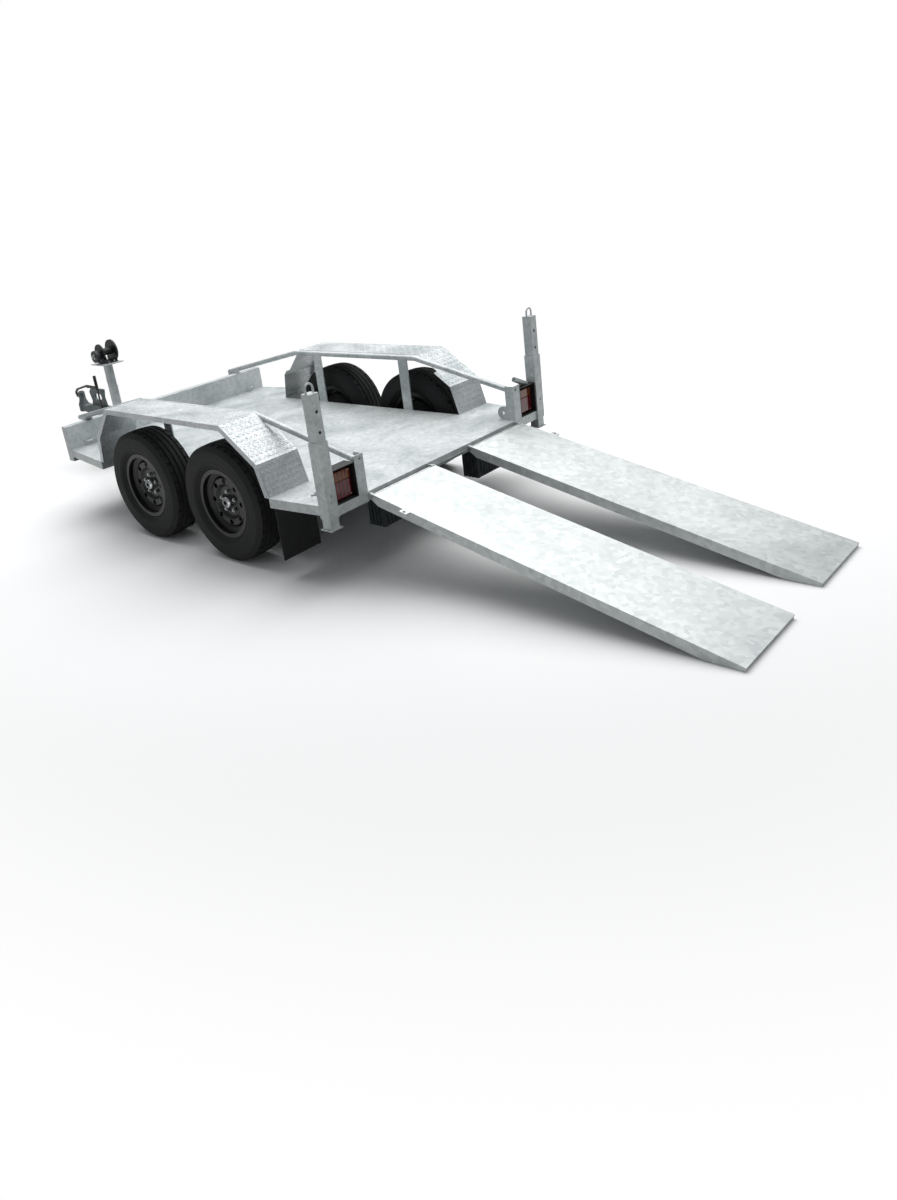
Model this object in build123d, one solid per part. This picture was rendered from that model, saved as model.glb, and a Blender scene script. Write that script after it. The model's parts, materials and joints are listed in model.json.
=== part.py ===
from build123d import *
import os
from math import asin, atan2, cos, degrees, hypot, pi, radians, sin, sqrt

# Tandem-axle trailer for carrying scissor lifts, with two loading ramps lowered to the floor.
# Sizes are in mm. X runs forward to the coupling, Y to the left and Z up, with the floor at 0.
# Stations along X are measured from the tail, the rear edge of the deck, and the finished
# trailer is moved so that its origin is the middle of its overall length.

# Deck and chassis
DECK_LENGTH = 2566.0
DECK_HALF_WIDTH = 630.0
DECK_TOP = 442.0
DECK_SHEET = 5.0
CHASSIS_DEPTH = 75.0
CHASSIS_WIDTH = 50.0
CHASSIS_WALL = 4.0
CROSS_MEMBER_WIDTH = 50.0
CROSS_MEMBER_COUNT = 6
CROSS_MEMBER_FIRST_X = 97.0
CROSS_MEMBER_LAST_X = DECK_LENGTH - 86.0

# Wings: the platforms outside the deck, behind and ahead of the guards
WING_HALF_WIDTH = 906.0
WING_TAPER = 74.0
WING_FRONT_HALF_WIDTH = WING_HALF_WIDTH - WING_TAPER
WING_FRAME_DEPTH = 45.0
WING_FRAME_WIDTH = 25.0

# Wheels and tyres
TYRE_RADIUS = 333.0
TYRE_HALF_WIDTH = 99.0
TREAD_HALF_WIDTH = 76.0
WHEEL_Y = (DECK_HALF_WIDTH + WING_HALF_WIDTH) / 2 + 32.0
REAR_AXLE_X = 876.0
AXLE_SPACING = 763.0
FRONT_AXLE_X = REAR_AXLE_X + AXLE_SPACING
BEAD_RADIUS = 178.0
BEAD_HALF_WIDTH = 72.0
RIM_LIP_RADIUS = 196.0
RIM_WALL = 5.0
WELL_RADIUS = 152.0
DISC_FACE = 20.0
DISC_BULGE = 18.0
HUB_RADIUS = 34.0
HUB_CAP_LENGTH = 38.0
DRUM_RADIUS = 127.0
DRUM_LENGTH = 58.0
DRUM_GAP = 4.0
BACKING_PLATE = 4.0
WINDOW_COUNT = 8
WINDOW_CIRCLE_RADIUS = 118.0
STUD_COUNT = 5
STUD_CIRCLE_RADIUS = 57.15
STUD_HOLE_RADIUS = 7.0

# Dropped axles and leaf springs
AXLE_BEAM = 50.0
AXLE_DROP = 75.0
CRANK_THICKNESS = 22.0
SPINDLE_RADIUS = 22.0
SPRING_WIDTH = 60.0
SPRING_LEAF = 7.0
SPRING_HALF_SPAN = 330.0
SPRING_RISE = 36.0
SPRING_LEAF_SHARES = (1.0, 0.78, 0.56, 0.34)
EYE_RADIUS = 17.0
EYE_PIN_RADIUS = 8.0
HANGER_CHEEK = 6.0

# Mudguards
GUARD_SHEET = 3.0
GUARD_TOP = 795.0
GUARD_KNEE_Z = 613.0
GUARD_REAR_X = REAR_AXLE_X - 453.0
GUARD_REAR_KNEE_X = REAR_AXLE_X - 403.0
GUARD_REAR_TOP_X = REAR_AXLE_X - 145.0
GUARD_FRONT_TOP_X = FRONT_AXLE_X + 218.0
GUARD_FRONT_KNEE_X = FRONT_AXLE_X + 387.0
GUARD_FRONT_X = FRONT_AXLE_X + 416.0
GUARD_LIP = 30.0
GUARD_COPE = 140.0

# Side rails along the inner edge of the guards
RAIL_RADIUS = 17.0
RAIL_WALL = 3.0
RAIL_Y = DECK_HALF_WIDTH + 16.0
RAIL_END_Z = 604.0
RAIL_REAR_KNEE_X = GUARD_REAR_TOP_X + RAIL_RADIUS
RAIL_FRONT_KNEE_X = GUARD_FRONT_TOP_X + RAIL_RADIUS + 1.0
RAIL_OVERRUN = 136.0
RAIL_FRONT_X = DECK_LENGTH + RAIL_OVERRUN
RAIL_BEND_RADIUS = 60.0
SUPPORT_WIDTH = 75.0
SUPPORT_THICKNESS = 8.0
SUPPORT_STATIONS = (REAR_AXLE_X - 30.0, FRONT_AXLE_X + 7.0)

# Front board
BOARD_RISE = 155.0
BOARD_DEPTH = 60.0
BOARD_SHEET = 4.0
LOOP_ROD_RADIUS = 6.0
LOOP_RADIUS = 26.0
LOOP_Y = DECK_HALF_WIDTH + 70.0

# Rear corner posts, lamps and latches
POST_FACE = 62.0
POST_FLANGE = 60.0
POST_WALL = 6.0
POST_RISE = 200.0
LATCH_HOLE_RADIUS = 9.0
LATCH_HOLE_DROP = 20.0
LUG_LENGTH = 62.0
LUG_HEIGHT = 78.0
LUG_HOLE_RADIUS = 10.0
LAMP_BOX_RISE = 174.0
LAMP_BOX_DEPTH = 70.0
LAMP_BOX_WALL = 4.0
LAMP_SIDE_GAP = 12.25
LAMP_HEIGHT = 140.0
LAMP_AMBER_HEIGHT = 50.0
LAMP_BASE = 16.0
LAMP_RIM = 5.0
LAMP_LENS = 24.0
LAMP_Z_ABOVE_DECK = 80.0

# Stabiliser legs in their sleeves
LEG_Y = WING_HALF_WIDTH - 37.0
LEG_X = 24.0
LEG_SIDE = 56.0
LEG_WALL = 4.0
LEG_CLEARANCE = 0.5
SLEEVE_WALL = 4.0
SLEEVE_TOP = 772.0
LEG_TOP = 1000.0
FOOT_BOTTOM = 335.0
FOOT_PLATE = 6.0
FOOT_SIDE = 75.0
LEG_HANDLE_RISE = 22.0
LEG_HANDLE_ROD = 5.0
PIN_HOLE_RADIUS = 8.0
PIN_HOLE_PITCH = 98.0
PIN_HOLE_COUNT = 4
PIN_HOLE_TOP_DROP = 85.0
SLEEVE_PIN_Z = 504.0

# Mudflaps and tail blocks
FLAP_SHEET = 6.0
FLAP_BOTTOM = 104.0
FLAP_INNER_Y = DECK_HALF_WIDTH + 15.0
FLAP_OUTER_Y = WING_HALF_WIDTH - 6.0
BLOCK_LENGTH = 106.0
BLOCK_WIDTH = 210.0
BLOCK_BOTTOM = 195.0
BLOCK_GROOVE = 8.0
BLOCK_GROOVE_PITCH = 25.0

# Ramps and their hinges
RAMP_WIDTH = 471.0
RAMP_OUTER_Y = DECK_HALF_WIDTH - 3.0
RAMP_INNER_Y = RAMP_OUTER_Y - RAMP_WIDTH
RAMP_LENGTH = 1885.0
RAMP_SHEET = 5.0
RAMP_DEPTH = 50.0
RAMP_TIP_THICKNESS = 20.0
RAMP_BEVEL = 150.0
RAMP_FLANGE = 28.0
RAMP_RIB_COUNT = 6
RAMP_RIB_DEPTH = 38.0
HINGE_SET_BACK = 20.0
HINGE_DROP = 22.0
HINGE_PIN_RADIUS = 8.0
HINGE_EAR_RADIUS = 14.0
HINGE_CLEARANCE = 0.05
HINGE_SIDE_GAP = 2.0
HINGE_LUG = 10.0
REAR_BAR_DEPTH = 30.0
REAR_BAR_LENGTH = 60.0
TAB_STATION = 231.0
TAB_WIDTH = 30.0
TAB_HEIGHT = 44.0
TAB_THICKNESS = 8.0

# Drawbar, winch and coupling
DRAWBAR_REAR_X = FRONT_AXLE_X + 591.0
DRAWBAR_REAR_Y = DECK_HALF_WIDTH - 65.0
DRAWBAR_REACH = 914.0
DRAWBAR_NOSE_X = DECK_LENGTH + DRAWBAR_REACH
DRAWBAR_NOSE_Y = 46.0
DRAWBAR_WALL = 4.0
NOSE_PLATE = 8.0
NOSE_END = 20.0
WINCH_POST_X = DRAWBAR_NOSE_X - 125.0
WINCH_POST_SIDE = 50.0
WINCH_POST_TOP = 798.0
WINCH_PLATE_LENGTH = 212.0
WINCH_PLATE_WIDTH = 166.0
WINCH_PLATE = 6.0
GUSSET_RUN = 55.0
GUSSET_RISE = 120.0
WINCH_AXIS_RISE = 84.0
WINCH_DRUM_RADIUS = 28.0
WINCH_GEAR_RADIUS = 82.0
WINCH_FLANGE_RADIUS = 66.0
WINCH_BRAKE_RADIUS = 46.0
WINCH_CHEEK_GAP = 80.0
WINCH_CHEEK = 5.0
BALL_X = DRAWBAR_NOSE_X + 412.0
BALL_SOCKET_RADIUS = 25.5
BALL_SOCKET_DEPTH = 26.0
CUP_RADIUS = 42.0
CUP_HEIGHT = 58.0
NECK_RADIUS = 27.0
HEAD_TOP = 544.0
HEAD_BOTTOM = 380.0
BRACKET_X = DRAWBAR_NOSE_X + 130.0
BRACKET_TOP = 582.0
BRACKET_THICKNESS = 14.0
BRACKET_SLOT_Z = 516.0
BRACKET_SLOT_LENGTH = 100.0
BRACKET_SLOT_HEIGHT = 52.0
COUPLING_WIDTH = 64.0
HANDLE_REACH = 92.0
HANDLE_BAR = 13.0
BRAKE_LEVER_X = DRAWBAR_NOSE_X + 52.0
BRAKE_LEVER_TOP = 700.0

# Jockey wheel
JOCKEY_X = DRAWBAR_NOSE_X + 65.0
JOCKEY_TUBE_RADIUS = 30.0
JOCKEY_LEG_RADIUS = 24.0
JOCKEY_FIT = 0.1
JOCKEY_TUBE_BOTTOM = 282.0
JOCKEY_TUBE_TOP = 570.0
JOCKEY_WHEEL_RADIUS = 75.0
JOCKEY_WHEEL_WIDTH = 45.0
JOCKEY_TRAIL = 30.0
JOCKEY_FORK_PLATE = 5.0
JOCKEY_FORK_CROWN = 8.0
JOCKEY_WHEEL_GAP = 6.0
JOCKEY_TRAVEL = 100.0

FIT = 0.3

# Worked out from the sizes above
FRAME_TOP = DECK_TOP - DECK_SHEET
FRAME_BOTTOM = FRAME_TOP - CHASSIS_DEPTH
CHASSIS_OUTER_Y = DECK_HALF_WIDTH - DECK_SHEET
CHASSIS_INNER_Y = CHASSIS_OUTER_Y - CHASSIS_WIDTH
CHASSIS_Y = (CHASSIS_INNER_Y + CHASSIS_OUTER_Y) / 2
SLEEVE_SIDE = LEG_SIDE + 2 * (LEG_CLEARANCE + SLEEVE_WALL)
SLEEVE_INNER_Y = LEG_Y - SLEEVE_SIDE / 2
SLEEVE_FRONT_X = LEG_X + SLEEVE_SIDE / 2
WING_BOTTOM = FRAME_TOP - WING_FRAME_DEPTH
RAIL_TOP_Z = GUARD_TOP - RAIL_RADIUS
HINGE_X = -HINGE_SET_BACK
HINGE_Z = DECK_TOP - HINGE_DROP
SKIN_OVER_PIN = HINGE_EAR_RADIUS
TIP_UNDER_PIN = RAMP_TIP_THICKNESS - SKIN_OVER_PIN
RAMP_SLOPE = asin(HINGE_Z / hypot(RAMP_LENGTH, TIP_UNDER_PIN)) - atan2(TIP_UNDER_PIN, RAMP_LENGTH)
TIP_X = HINGE_X - RAMP_LENGTH * cos(RAMP_SLOPE) - TIP_UNDER_PIN * sin(RAMP_SLOPE)
NOSE_X = BALL_X + HANDLE_REACH
MIDDLE_X = (TIP_X + NOSE_X) / 2
AXLE_STATIONS = {"rear": REAR_AXLE_X, "front": FRONT_AXLE_X}
SIDES = {"left": 1, "right": -1}
POST_INNER_Y = DECK_HALF_WIDTH - POST_WALL - 2
POST_OUTER_Y = POST_INNER_Y + POST_FACE
JOCKEY_LEG_BOTTOM = 2 * JOCKEY_WHEEL_RADIUS + JOCKEY_WHEEL_GAP + JOCKEY_FORK_CROWN + FIT
BEAM_TOP = TYRE_RADIUS - AXLE_DROP + AXLE_BEAM / 2
EYE_Z = BEAM_TOP + len(SPRING_LEAF_SHARES) * SPRING_LEAF + SPRING_RISE
EQUALISER_X = (REAR_AXLE_X + FRONT_AXLE_X) / 2


def block(x0, x1, y0, y1, z0, z1):
    """A box between six planes."""
    return Pos((x0 + x1) / 2, (y0 + y1) / 2, (z0 + z1) / 2) * Box(x1 - x0, y1 - y0, z1 - z0)


def plate_xz(points, y0, y1):
    """A flat shape drawn in X and Z, from y0 to y1."""
    outline = Polyline(*[(x, y0, z) for x, z in points], close=True)
    return extrude(make_face(outline), amount=y1 - y0, dir=(0, 1, 0))


def plate_xy(points, z0, z1):
    """A flat shape drawn in X and Y, from z0 to z1."""
    outline = Polyline(*[(x, y, z0) for x, y in points], close=True)
    return extrude(make_face(outline), amount=z1 - z0, dir=(0, 0, 1))


def rod_x(x0, x1, y, z, radius):
    return Pos((x0 + x1) / 2, y, z) * Rot(0, 90, 0) * Cylinder(radius, x1 - x0)


def rod_y(x, y0, y1, z, radius):
    return Pos(x, (y0 + y1) / 2, z) * Rot(90, 0, 0) * Cylinder(radius, y1 - y0)


def rod_z(x, y, z0, z1, radius):
    return Pos(x, y, (z0 + z1) / 2) * Cylinder(radius, z1 - z0)


def mirrored(solid):
    """The same piece on the trailer's right."""
    return mirror(solid, about=Plane.XZ)


def on_side(solid, side):
    return solid if side > 0 else mirrored(solid)


def both(piece):
    return [piece, mirrored(piece)]


def hollow_x(x0, x1, y0, y1, z0, z1, wall):
    """A rectangular tube along X, open at both ends."""
    outer = block(x0, x1, y0, y1, z0, z1)
    return outer - block(x0 - 1, x1 + 1, y0 + wall, y1 - wall, z0 + wall, z1 - wall)


def fold(points, thickness):
    """Outline of a sheet folded along the points, with its thickness on the right-hand side."""
    inner = []
    for i, (x, z) in enumerate(points):
        x_in, z_in = points[max(i - 1, 0)]
        x_out, z_out = points[min(i + 1, len(points) - 1)]
        before = atan2(z - z_in, x - x_in) if i else atan2(z_out - z, x_out - x)
        after = atan2(z_out - z, x_out - x) if i < len(points) - 1 else before
        middle = (before + after) / 2
        reach = thickness / cos((after - before) / 2)
        inner.append((x + reach * sin(middle), z - reach * cos(middle)))
    return list(points) + inner[::-1]


def deck_plate():
    """The floor sheet with its four wings, its long edges folded down between them."""
    half = (
        (0, SLEEVE_INNER_Y),
        (SLEEVE_FRONT_X, SLEEVE_INNER_Y),
        (SLEEVE_FRONT_X, LEG_Y),
        (GUARD_REAR_X, WING_HALF_WIDTH),
        (GUARD_REAR_X, DECK_HALF_WIDTH),
        (GUARD_FRONT_X, DECK_HALF_WIDTH),
        (GUARD_FRONT_X, WING_HALF_WIDTH),
        (DECK_LENGTH, WING_FRONT_HALF_WIDTH),
    )
    outline = list(half) + [(x, -y) for x, y in reversed(half)]
    sheet = plate_xy(outline, FRAME_TOP, DECK_TOP)
    for side in SIDES.values():
        edge = block(
            GUARD_REAR_X, GUARD_FRONT_X, CHASSIS_OUTER_Y, DECK_HALF_WIDTH, FRAME_BOTTOM, FRAME_TOP
        )
        sheet = sheet + on_side(edge, side)
        slot = block(
            -1, POST_FLANGE, POST_INNER_Y, POST_INNER_Y + POST_WALL, FRAME_TOP - 1, DECK_TOP + 1
        )
        face = block(-1, POST_WALL, POST_INNER_Y, POST_OUTER_Y, FRAME_TOP - 1, DECK_TOP + 1)
        sheet = sheet - on_side(slot, side) - on_side(face, side)
    return sheet


def chassis_rails():
    rail = hollow_x(
        REAR_BAR_LENGTH, DECK_LENGTH, CHASSIS_INNER_Y, CHASSIS_OUTER_Y,
        FRAME_BOTTOM, FRAME_TOP, CHASSIS_WALL,
    )
    return [rail, mirrored(rail)]


def cross_members():
    """Folded channels between the chassis rails, open to the rear."""
    pitch = (CROSS_MEMBER_LAST_X - CROSS_MEMBER_FIRST_X) / (CROSS_MEMBER_COUNT - 1)
    members = []
    for i in range(CROSS_MEMBER_COUNT):
        x = CROSS_MEMBER_FIRST_X + i * pitch
        front = x + CROSS_MEMBER_WIDTH / 2
        rear = x - CROSS_MEMBER_WIDTH / 2
        shape = fold(
            ((rear, FRAME_BOTTOM), (front, FRAME_BOTTOM), (front, FRAME_TOP), (rear, FRAME_TOP)),
            -CHASSIS_WALL,
        )
        members.append(plate_xz(shape, -CHASSIS_INNER_Y, CHASSIS_INNER_Y))
    return members


def wing_frames():
    """Welded edge frames under the four wings."""
    rear = (
        (0, CHASSIS_OUTER_Y),
        (0, SLEEVE_INNER_Y),
        (SLEEVE_FRONT_X, SLEEVE_INNER_Y),
        (SLEEVE_FRONT_X, LEG_Y),
        (GUARD_REAR_X, WING_HALF_WIDTH),
        (GUARD_REAR_X, CHASSIS_OUTER_Y),
    )
    front = (
        (GUARD_FRONT_X, CHASSIS_OUTER_Y),
        (GUARD_FRONT_X, WING_HALF_WIDTH),
        (DECK_LENGTH, WING_FRONT_HALF_WIDTH),
        (DECK_LENGTH, CHASSIS_OUTER_Y),
    )
    frames = []
    for outline in (rear, front):
        face = make_face(Polyline(*[(x, y, WING_BOTTOM) for x, y in outline], close=True))
        pocket = offset(face, amount=-WING_FRAME_WIDTH, kind=Kind.INTERSECTION)
        ring = extrude(face - pocket, amount=WING_FRAME_DEPTH, dir=(0, 0, 1))
        frames.append(ring)
    frames[0] = frames[0] - block(
        -1, POST_WALL, POST_INNER_Y, POST_OUTER_Y, WING_BOTTOM - 1, FRAME_TOP + 1
    )
    frames[0] = frames[0] - block(
        -1, POST_FLANGE, POST_INNER_Y, POST_INNER_Y + POST_WALL, WING_BOTTOM - 1, FRAME_TOP + 1
    )
    return frames + [mirrored(frame) for frame in frames]


def rear_crossbar():
    """Flat box section across the tail, with the lugs that hold the ramp hinge pins."""
    bar = block(
        0, REAR_BAR_LENGTH, -CHASSIS_OUTER_Y, CHASSIS_OUTER_Y, FRAME_TOP - REAR_BAR_DEPTH, FRAME_TOP
    )
    bar = bar - block(
        CHASSIS_WALL, REAR_BAR_LENGTH - CHASSIS_WALL, -CHASSIS_OUTER_Y - 1, CHASSIS_OUTER_Y + 1,
        FRAME_TOP - REAR_BAR_DEPTH + CHASSIS_WALL, FRAME_TOP - CHASSIS_WALL,
    )
    for side in SIDES.values():
        for y0 in lug_stations():
            arm = block(HINGE_X, 0, y0, y0 + HINGE_LUG, HINGE_Z - HINGE_EAR_RADIUS,
                        HINGE_Z + HINGE_EAR_RADIUS)
            arm = arm + rod_y(HINGE_X, y0, y0 + HINGE_LUG, HINGE_Z, HINGE_EAR_RADIUS)
            arm = arm - rod_y(HINGE_X, y0 - 1, y0 + HINGE_LUG + 1, HINGE_Z,
                              HINGE_PIN_RADIUS + HINGE_CLEARANCE)
            bar = bar + on_side(arm, side)
        notch = block(
            -1, POST_FLANGE, POST_INNER_Y, POST_INNER_Y + POST_WALL, FRAME_BOTTOM, DECK_TOP
        )
        bar = bar - on_side(notch, side)
    return bar


def lug_stations():
    """Inner faces of the two hinge lugs of the left ramp, just inside its side channels."""
    inner = RAMP_INNER_Y + RAMP_SHEET + HINGE_SIDE_GAP
    outer = RAMP_OUTER_Y - RAMP_SHEET - HINGE_SIDE_GAP - HINGE_LUG
    return inner, outer


def hinge_pins():
    pin = rod_y(HINGE_X, RAMP_INNER_Y - 4, RAMP_OUTER_Y + 4, HINGE_Z, HINGE_PIN_RADIUS)
    return [pin, mirrored(pin)]


def ramp(side):
    """One ramp, drawn level behind its hinge pin and then lowered until its tip meets the floor."""
    top = HINGE_Z + SKIN_OVER_PIN
    under = top - RAMP_DEPTH
    start = HINGE_X - HINGE_EAR_RADIUS - HINGE_SIDE_GAP
    tip = HINGE_X - RAMP_LENGTH
    bevel = tip + RAMP_BEVEL
    skin = block(tip, start, RAMP_INNER_Y, RAMP_OUTER_Y, top - RAMP_SHEET, top)
    cheek_shape = (
        (HINGE_X, top),
        (tip, top),
        (tip, top - RAMP_TIP_THICKNESS),
        (bevel, under),
        (HINGE_X - RAMP_DEPTH, under),
        (HINGE_X, HINGE_Z - HINGE_EAR_RADIUS),
    )
    flange_shape = fold(((bevel, under), (HINGE_X - RAMP_DEPTH - RAMP_SHEET, under)), -RAMP_SHEET)
    body = skin
    for y0, y1, f0, f1 in (
        (RAMP_INNER_Y, RAMP_INNER_Y + RAMP_SHEET, RAMP_INNER_Y, RAMP_INNER_Y + RAMP_FLANGE),
        (RAMP_OUTER_Y - RAMP_SHEET, RAMP_OUTER_Y, RAMP_OUTER_Y - RAMP_FLANGE, RAMP_OUTER_Y),
    ):
        cheek = plate_xz(cheek_shape, y0, y1)
        cheek = cheek + rod_y(HINGE_X, y0, y1, HINGE_Z, HINGE_EAR_RADIUS)
        cheek = cheek - rod_y(HINGE_X, y0 - 1, y1 + 1, HINGE_Z, HINGE_PIN_RADIUS + HINGE_CLEARANCE)
        body = body + cheek + plate_xz(flange_shape, f0, f1)
    pitch = (RAMP_LENGTH - RAMP_BEVEL - RAMP_DEPTH) / RAMP_RIB_COUNT
    for i in range(RAMP_RIB_COUNT):
        x = bevel + i * pitch
        rib = block(x, x + RAMP_SHEET, RAMP_INNER_Y, RAMP_OUTER_Y, top - RAMP_RIB_DEPTH, top)
        body = body + rib
    nose = block(
        tip, tip + 2 * RAMP_SHEET, RAMP_INNER_Y, RAMP_OUTER_Y, top - RAMP_TIP_THICKNESS, top
    )
    body = body + nose
    tab_x = HINGE_X - TAB_STATION
    tab = block(
        tab_x - TAB_HEIGHT / 2, tab_x + TAB_HEIGHT / 2, RAMP_OUTER_Y, RAMP_OUTER_Y + TAB_WIDTH,
        top - TAB_THICKNESS, top,
    )
    tab = tab - rod_z(tab_x, RAMP_OUTER_Y + TAB_WIDTH / 2 + 3, top - TAB_THICKNESS - 1, top + 1,
                      LATCH_HOLE_RADIUS)
    body = body + tab
    lowered = Pos(HINGE_X, 0, HINGE_Z) * Rot(0, -degrees(RAMP_SLOPE), 0) * Pos(-HINGE_X, 0, -HINGE_Z)
    return on_side(lowered * body, side)


def front_board():
    """Folded pan across the front of the deck."""
    top = DECK_TOP + BOARD_RISE
    pan = block(
        DECK_LENGTH, DECK_LENGTH + BOARD_DEPTH, -WING_FRONT_HALF_WIDTH, WING_FRONT_HALF_WIDTH,
        FRAME_BOTTOM, top,
    )
    inside = block(
        DECK_LENGTH + BOARD_SHEET, DECK_LENGTH + BOARD_DEPTH + 1,
        -WING_FRONT_HALF_WIDTH + BOARD_SHEET, WING_FRONT_HALF_WIDTH - BOARD_SHEET,
        FRAME_BOTTOM + BOARD_SHEET, top - BOARD_SHEET,
    )
    return pan - inside


def rail_path():
    """Centre line of a side rail: up from the rear post, along the guard, down to the front."""
    rise = (RAIL_TOP_Z - RAIL_END_Z) / RAIL_REAR_KNEE_X
    return FilletPolyline(
        (-RAIL_RADIUS, RAIL_Y, RAIL_END_Z - RAIL_RADIUS * rise),
        (RAIL_REAR_KNEE_X, RAIL_Y, RAIL_TOP_Z),
        (RAIL_FRONT_KNEE_X, RAIL_Y, RAIL_TOP_Z),
        (RAIL_FRONT_X, RAIL_Y, RAIL_END_Z),
        radius=RAIL_BEND_RADIUS,
    )


def rail_solid(radius):
    path = rail_path()
    start = Plane(origin=path @ 0, z_dir=path % 0)
    return sweep(start * Circle(radius), path=path)


def side_rail(side):
    tube = rail_solid(RAIL_RADIUS) - rail_solid(RAIL_RADIUS - RAIL_WALL)
    behind = block(-3 * RAIL_RADIUS, POST_WALL, 0, 2 * RAIL_Y, 0, GUARD_TOP)
    return on_side(tube - behind, side)


def rail_supports():
    """Flat uprights from the deck edge to the rails, and the plates under their front ends."""
    pieces = []
    y0 = DECK_HALF_WIDTH
    y1 = y0 + SUPPORT_THICKNESS
    cope = rail_solid(RAIL_RADIUS)
    for x in SUPPORT_STATIONS:
        upright = block(
            x - SUPPORT_WIDTH / 2, x + SUPPORT_WIDTH / 2, y0, y1, FRAME_BOTTOM, RAIL_TOP_Z
        )
        pieces.append(upright - cope)
    board_top = DECK_TOP + BOARD_RISE
    slope = rail_drop(DECK_LENGTH)
    front = plate_xz(
        (
            (DECK_LENGTH, board_top),
            (DECK_LENGTH + BOARD_DEPTH, board_top),
            (DECK_LENGTH + BOARD_DEPTH, FRAME_BOTTOM),
            (RAIL_FRONT_X, FRAME_BOTTOM),
            (RAIL_FRONT_X, RAIL_END_Z),
            (DECK_LENGTH, slope),
        ),
        y0, y1,
    )
    pieces.append(front - cope)
    return pieces + [mirrored(piece) for piece in pieces]


def rail_drop(x):
    """Height of the rail's centre line at x, on its front slope."""
    share = (x - RAIL_FRONT_KNEE_X) / (RAIL_FRONT_X - RAIL_FRONT_KNEE_X)
    return RAIL_TOP_Z + share * (RAIL_END_Z - RAIL_TOP_Z)


def mudguard(side):
    """Folded tread-plate guard over both wheels, its outer edge turned down."""
    line = (
        (GUARD_REAR_X, DECK_TOP),
        (GUARD_REAR_KNEE_X, GUARD_KNEE_Z),
        (GUARD_REAR_TOP_X, GUARD_TOP),
        (GUARD_FRONT_TOP_X, GUARD_TOP),
        (GUARD_FRONT_KNEE_X, GUARD_KNEE_Z),
        (GUARD_FRONT_X, DECK_TOP),
    )
    top = plate_xz(fold(line, GUARD_SHEET), DECK_HALF_WIDTH, WING_HALF_WIDTH)
    lip = plate_xz(fold(line, GUARD_LIP), WING_HALF_WIDTH - GUARD_SHEET, WING_HALF_WIDTH)
    cope = block(
        GUARD_REAR_TOP_X - GUARD_COPE, GUARD_FRONT_TOP_X + GUARD_COPE,
        DECK_HALF_WIDTH - 1, RAIL_Y + RAIL_RADIUS + FIT, GUARD_KNEE_Z, GUARD_TOP + 1,
    )
    feet = block(
        GUARD_REAR_X - GUARD_LIP, GUARD_FRONT_X + GUARD_LIP, DECK_HALF_WIDTH - 1,
        WING_HALF_WIDTH + 1, 0, DECK_TOP,
    )
    return on_side(top + lip - cope - feet, side)


def rear_post(side):
    """Angle post at the tail, with the latch hole for a raised ramp and a lashing lug."""
    top = DECK_TOP + POST_RISE
    post = block(0, POST_WALL, POST_INNER_Y, POST_OUTER_Y, WING_BOTTOM, top)
    post = post + block(0, POST_FLANGE, POST_INNER_Y, POST_INNER_Y + POST_WALL, WING_BOTTOM, top)
    hole_y = RAMP_OUTER_Y + TAB_WIDTH / 2 + 3
    post = post - rod_x(-1, POST_WALL + 1, hole_y, top - LATCH_HOLE_DROP, LATCH_HOLE_RADIUS)
    lug_z = DECK_TOP + LUG_HEIGHT / 2
    lug = block(
        POST_FLANGE, POST_FLANGE + LUG_LENGTH - LUG_HEIGHT / 2, POST_INNER_Y,
        POST_INNER_Y + POST_WALL, DECK_TOP, DECK_TOP + LUG_HEIGHT,
    )
    lug_x = POST_FLANGE + LUG_LENGTH - LUG_HEIGHT / 2
    lug = lug + rod_y(lug_x, POST_INNER_Y, POST_INNER_Y + POST_WALL, lug_z, LUG_HEIGHT / 2)
    post = post + lug
    hole = rod_y(lug_x, POST_INNER_Y - 1, POST_INNER_Y + POST_WALL + 1, lug_z, LUG_HOLE_RADIUS)
    return on_side(post - hole, side)


def lamp_boxes():
    """Sheet boxes on the wings between the posts and the leg sleeves, open to the rear."""
    wall = LAMP_BOX_WALL
    y0 = POST_OUTER_Y
    y1 = SLEEVE_INNER_Y
    top = DECK_TOP + LAMP_BOX_RISE
    box = block(0, LAMP_BOX_DEPTH, y0, y1, DECK_TOP, top)
    box = box - block(-1, LAMP_BOX_DEPTH - wall, y0 + wall, y1 - wall, DECK_TOP + wall, top - wall)
    return both(box + lamp_pieces()["base"])


def lamp_pieces():
    """Base, stop lens and indicator lens of the left tail lamp, with rounded rear edges."""
    back = LAMP_BOX_DEPTH - LAMP_BOX_WALL
    front = back - LAMP_BASE
    y0 = POST_OUTER_Y + LAMP_SIDE_GAP
    y1 = SLEEVE_INNER_Y - LAMP_SIDE_GAP
    z0 = DECK_TOP + LAMP_Z_ABOVE_DECK - LAMP_HEIGHT / 2
    z1 = z0 + LAMP_HEIGHT
    split = z1 - LAMP_AMBER_HEIGHT
    rim = LAMP_RIM
    pieces = {
        "base": block(front, back, y0 - rim, y1 + rim, z0 - rim, z1 + rim),
        "stop": block(front - LAMP_LENS, front, y0, y1, z0, split),
        "indicator": block(front - LAMP_LENS, front, y0, y1, split, z1),
    }
    for name, piece in pieces.items():
        rear_face = piece.faces().sort_by(Axis.X)[0]
        pieces[name] = fillet(rear_face.edges(), rim - 1)
    return pieces


def lenses(name):
    return both(lamp_pieces()[name])


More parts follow.
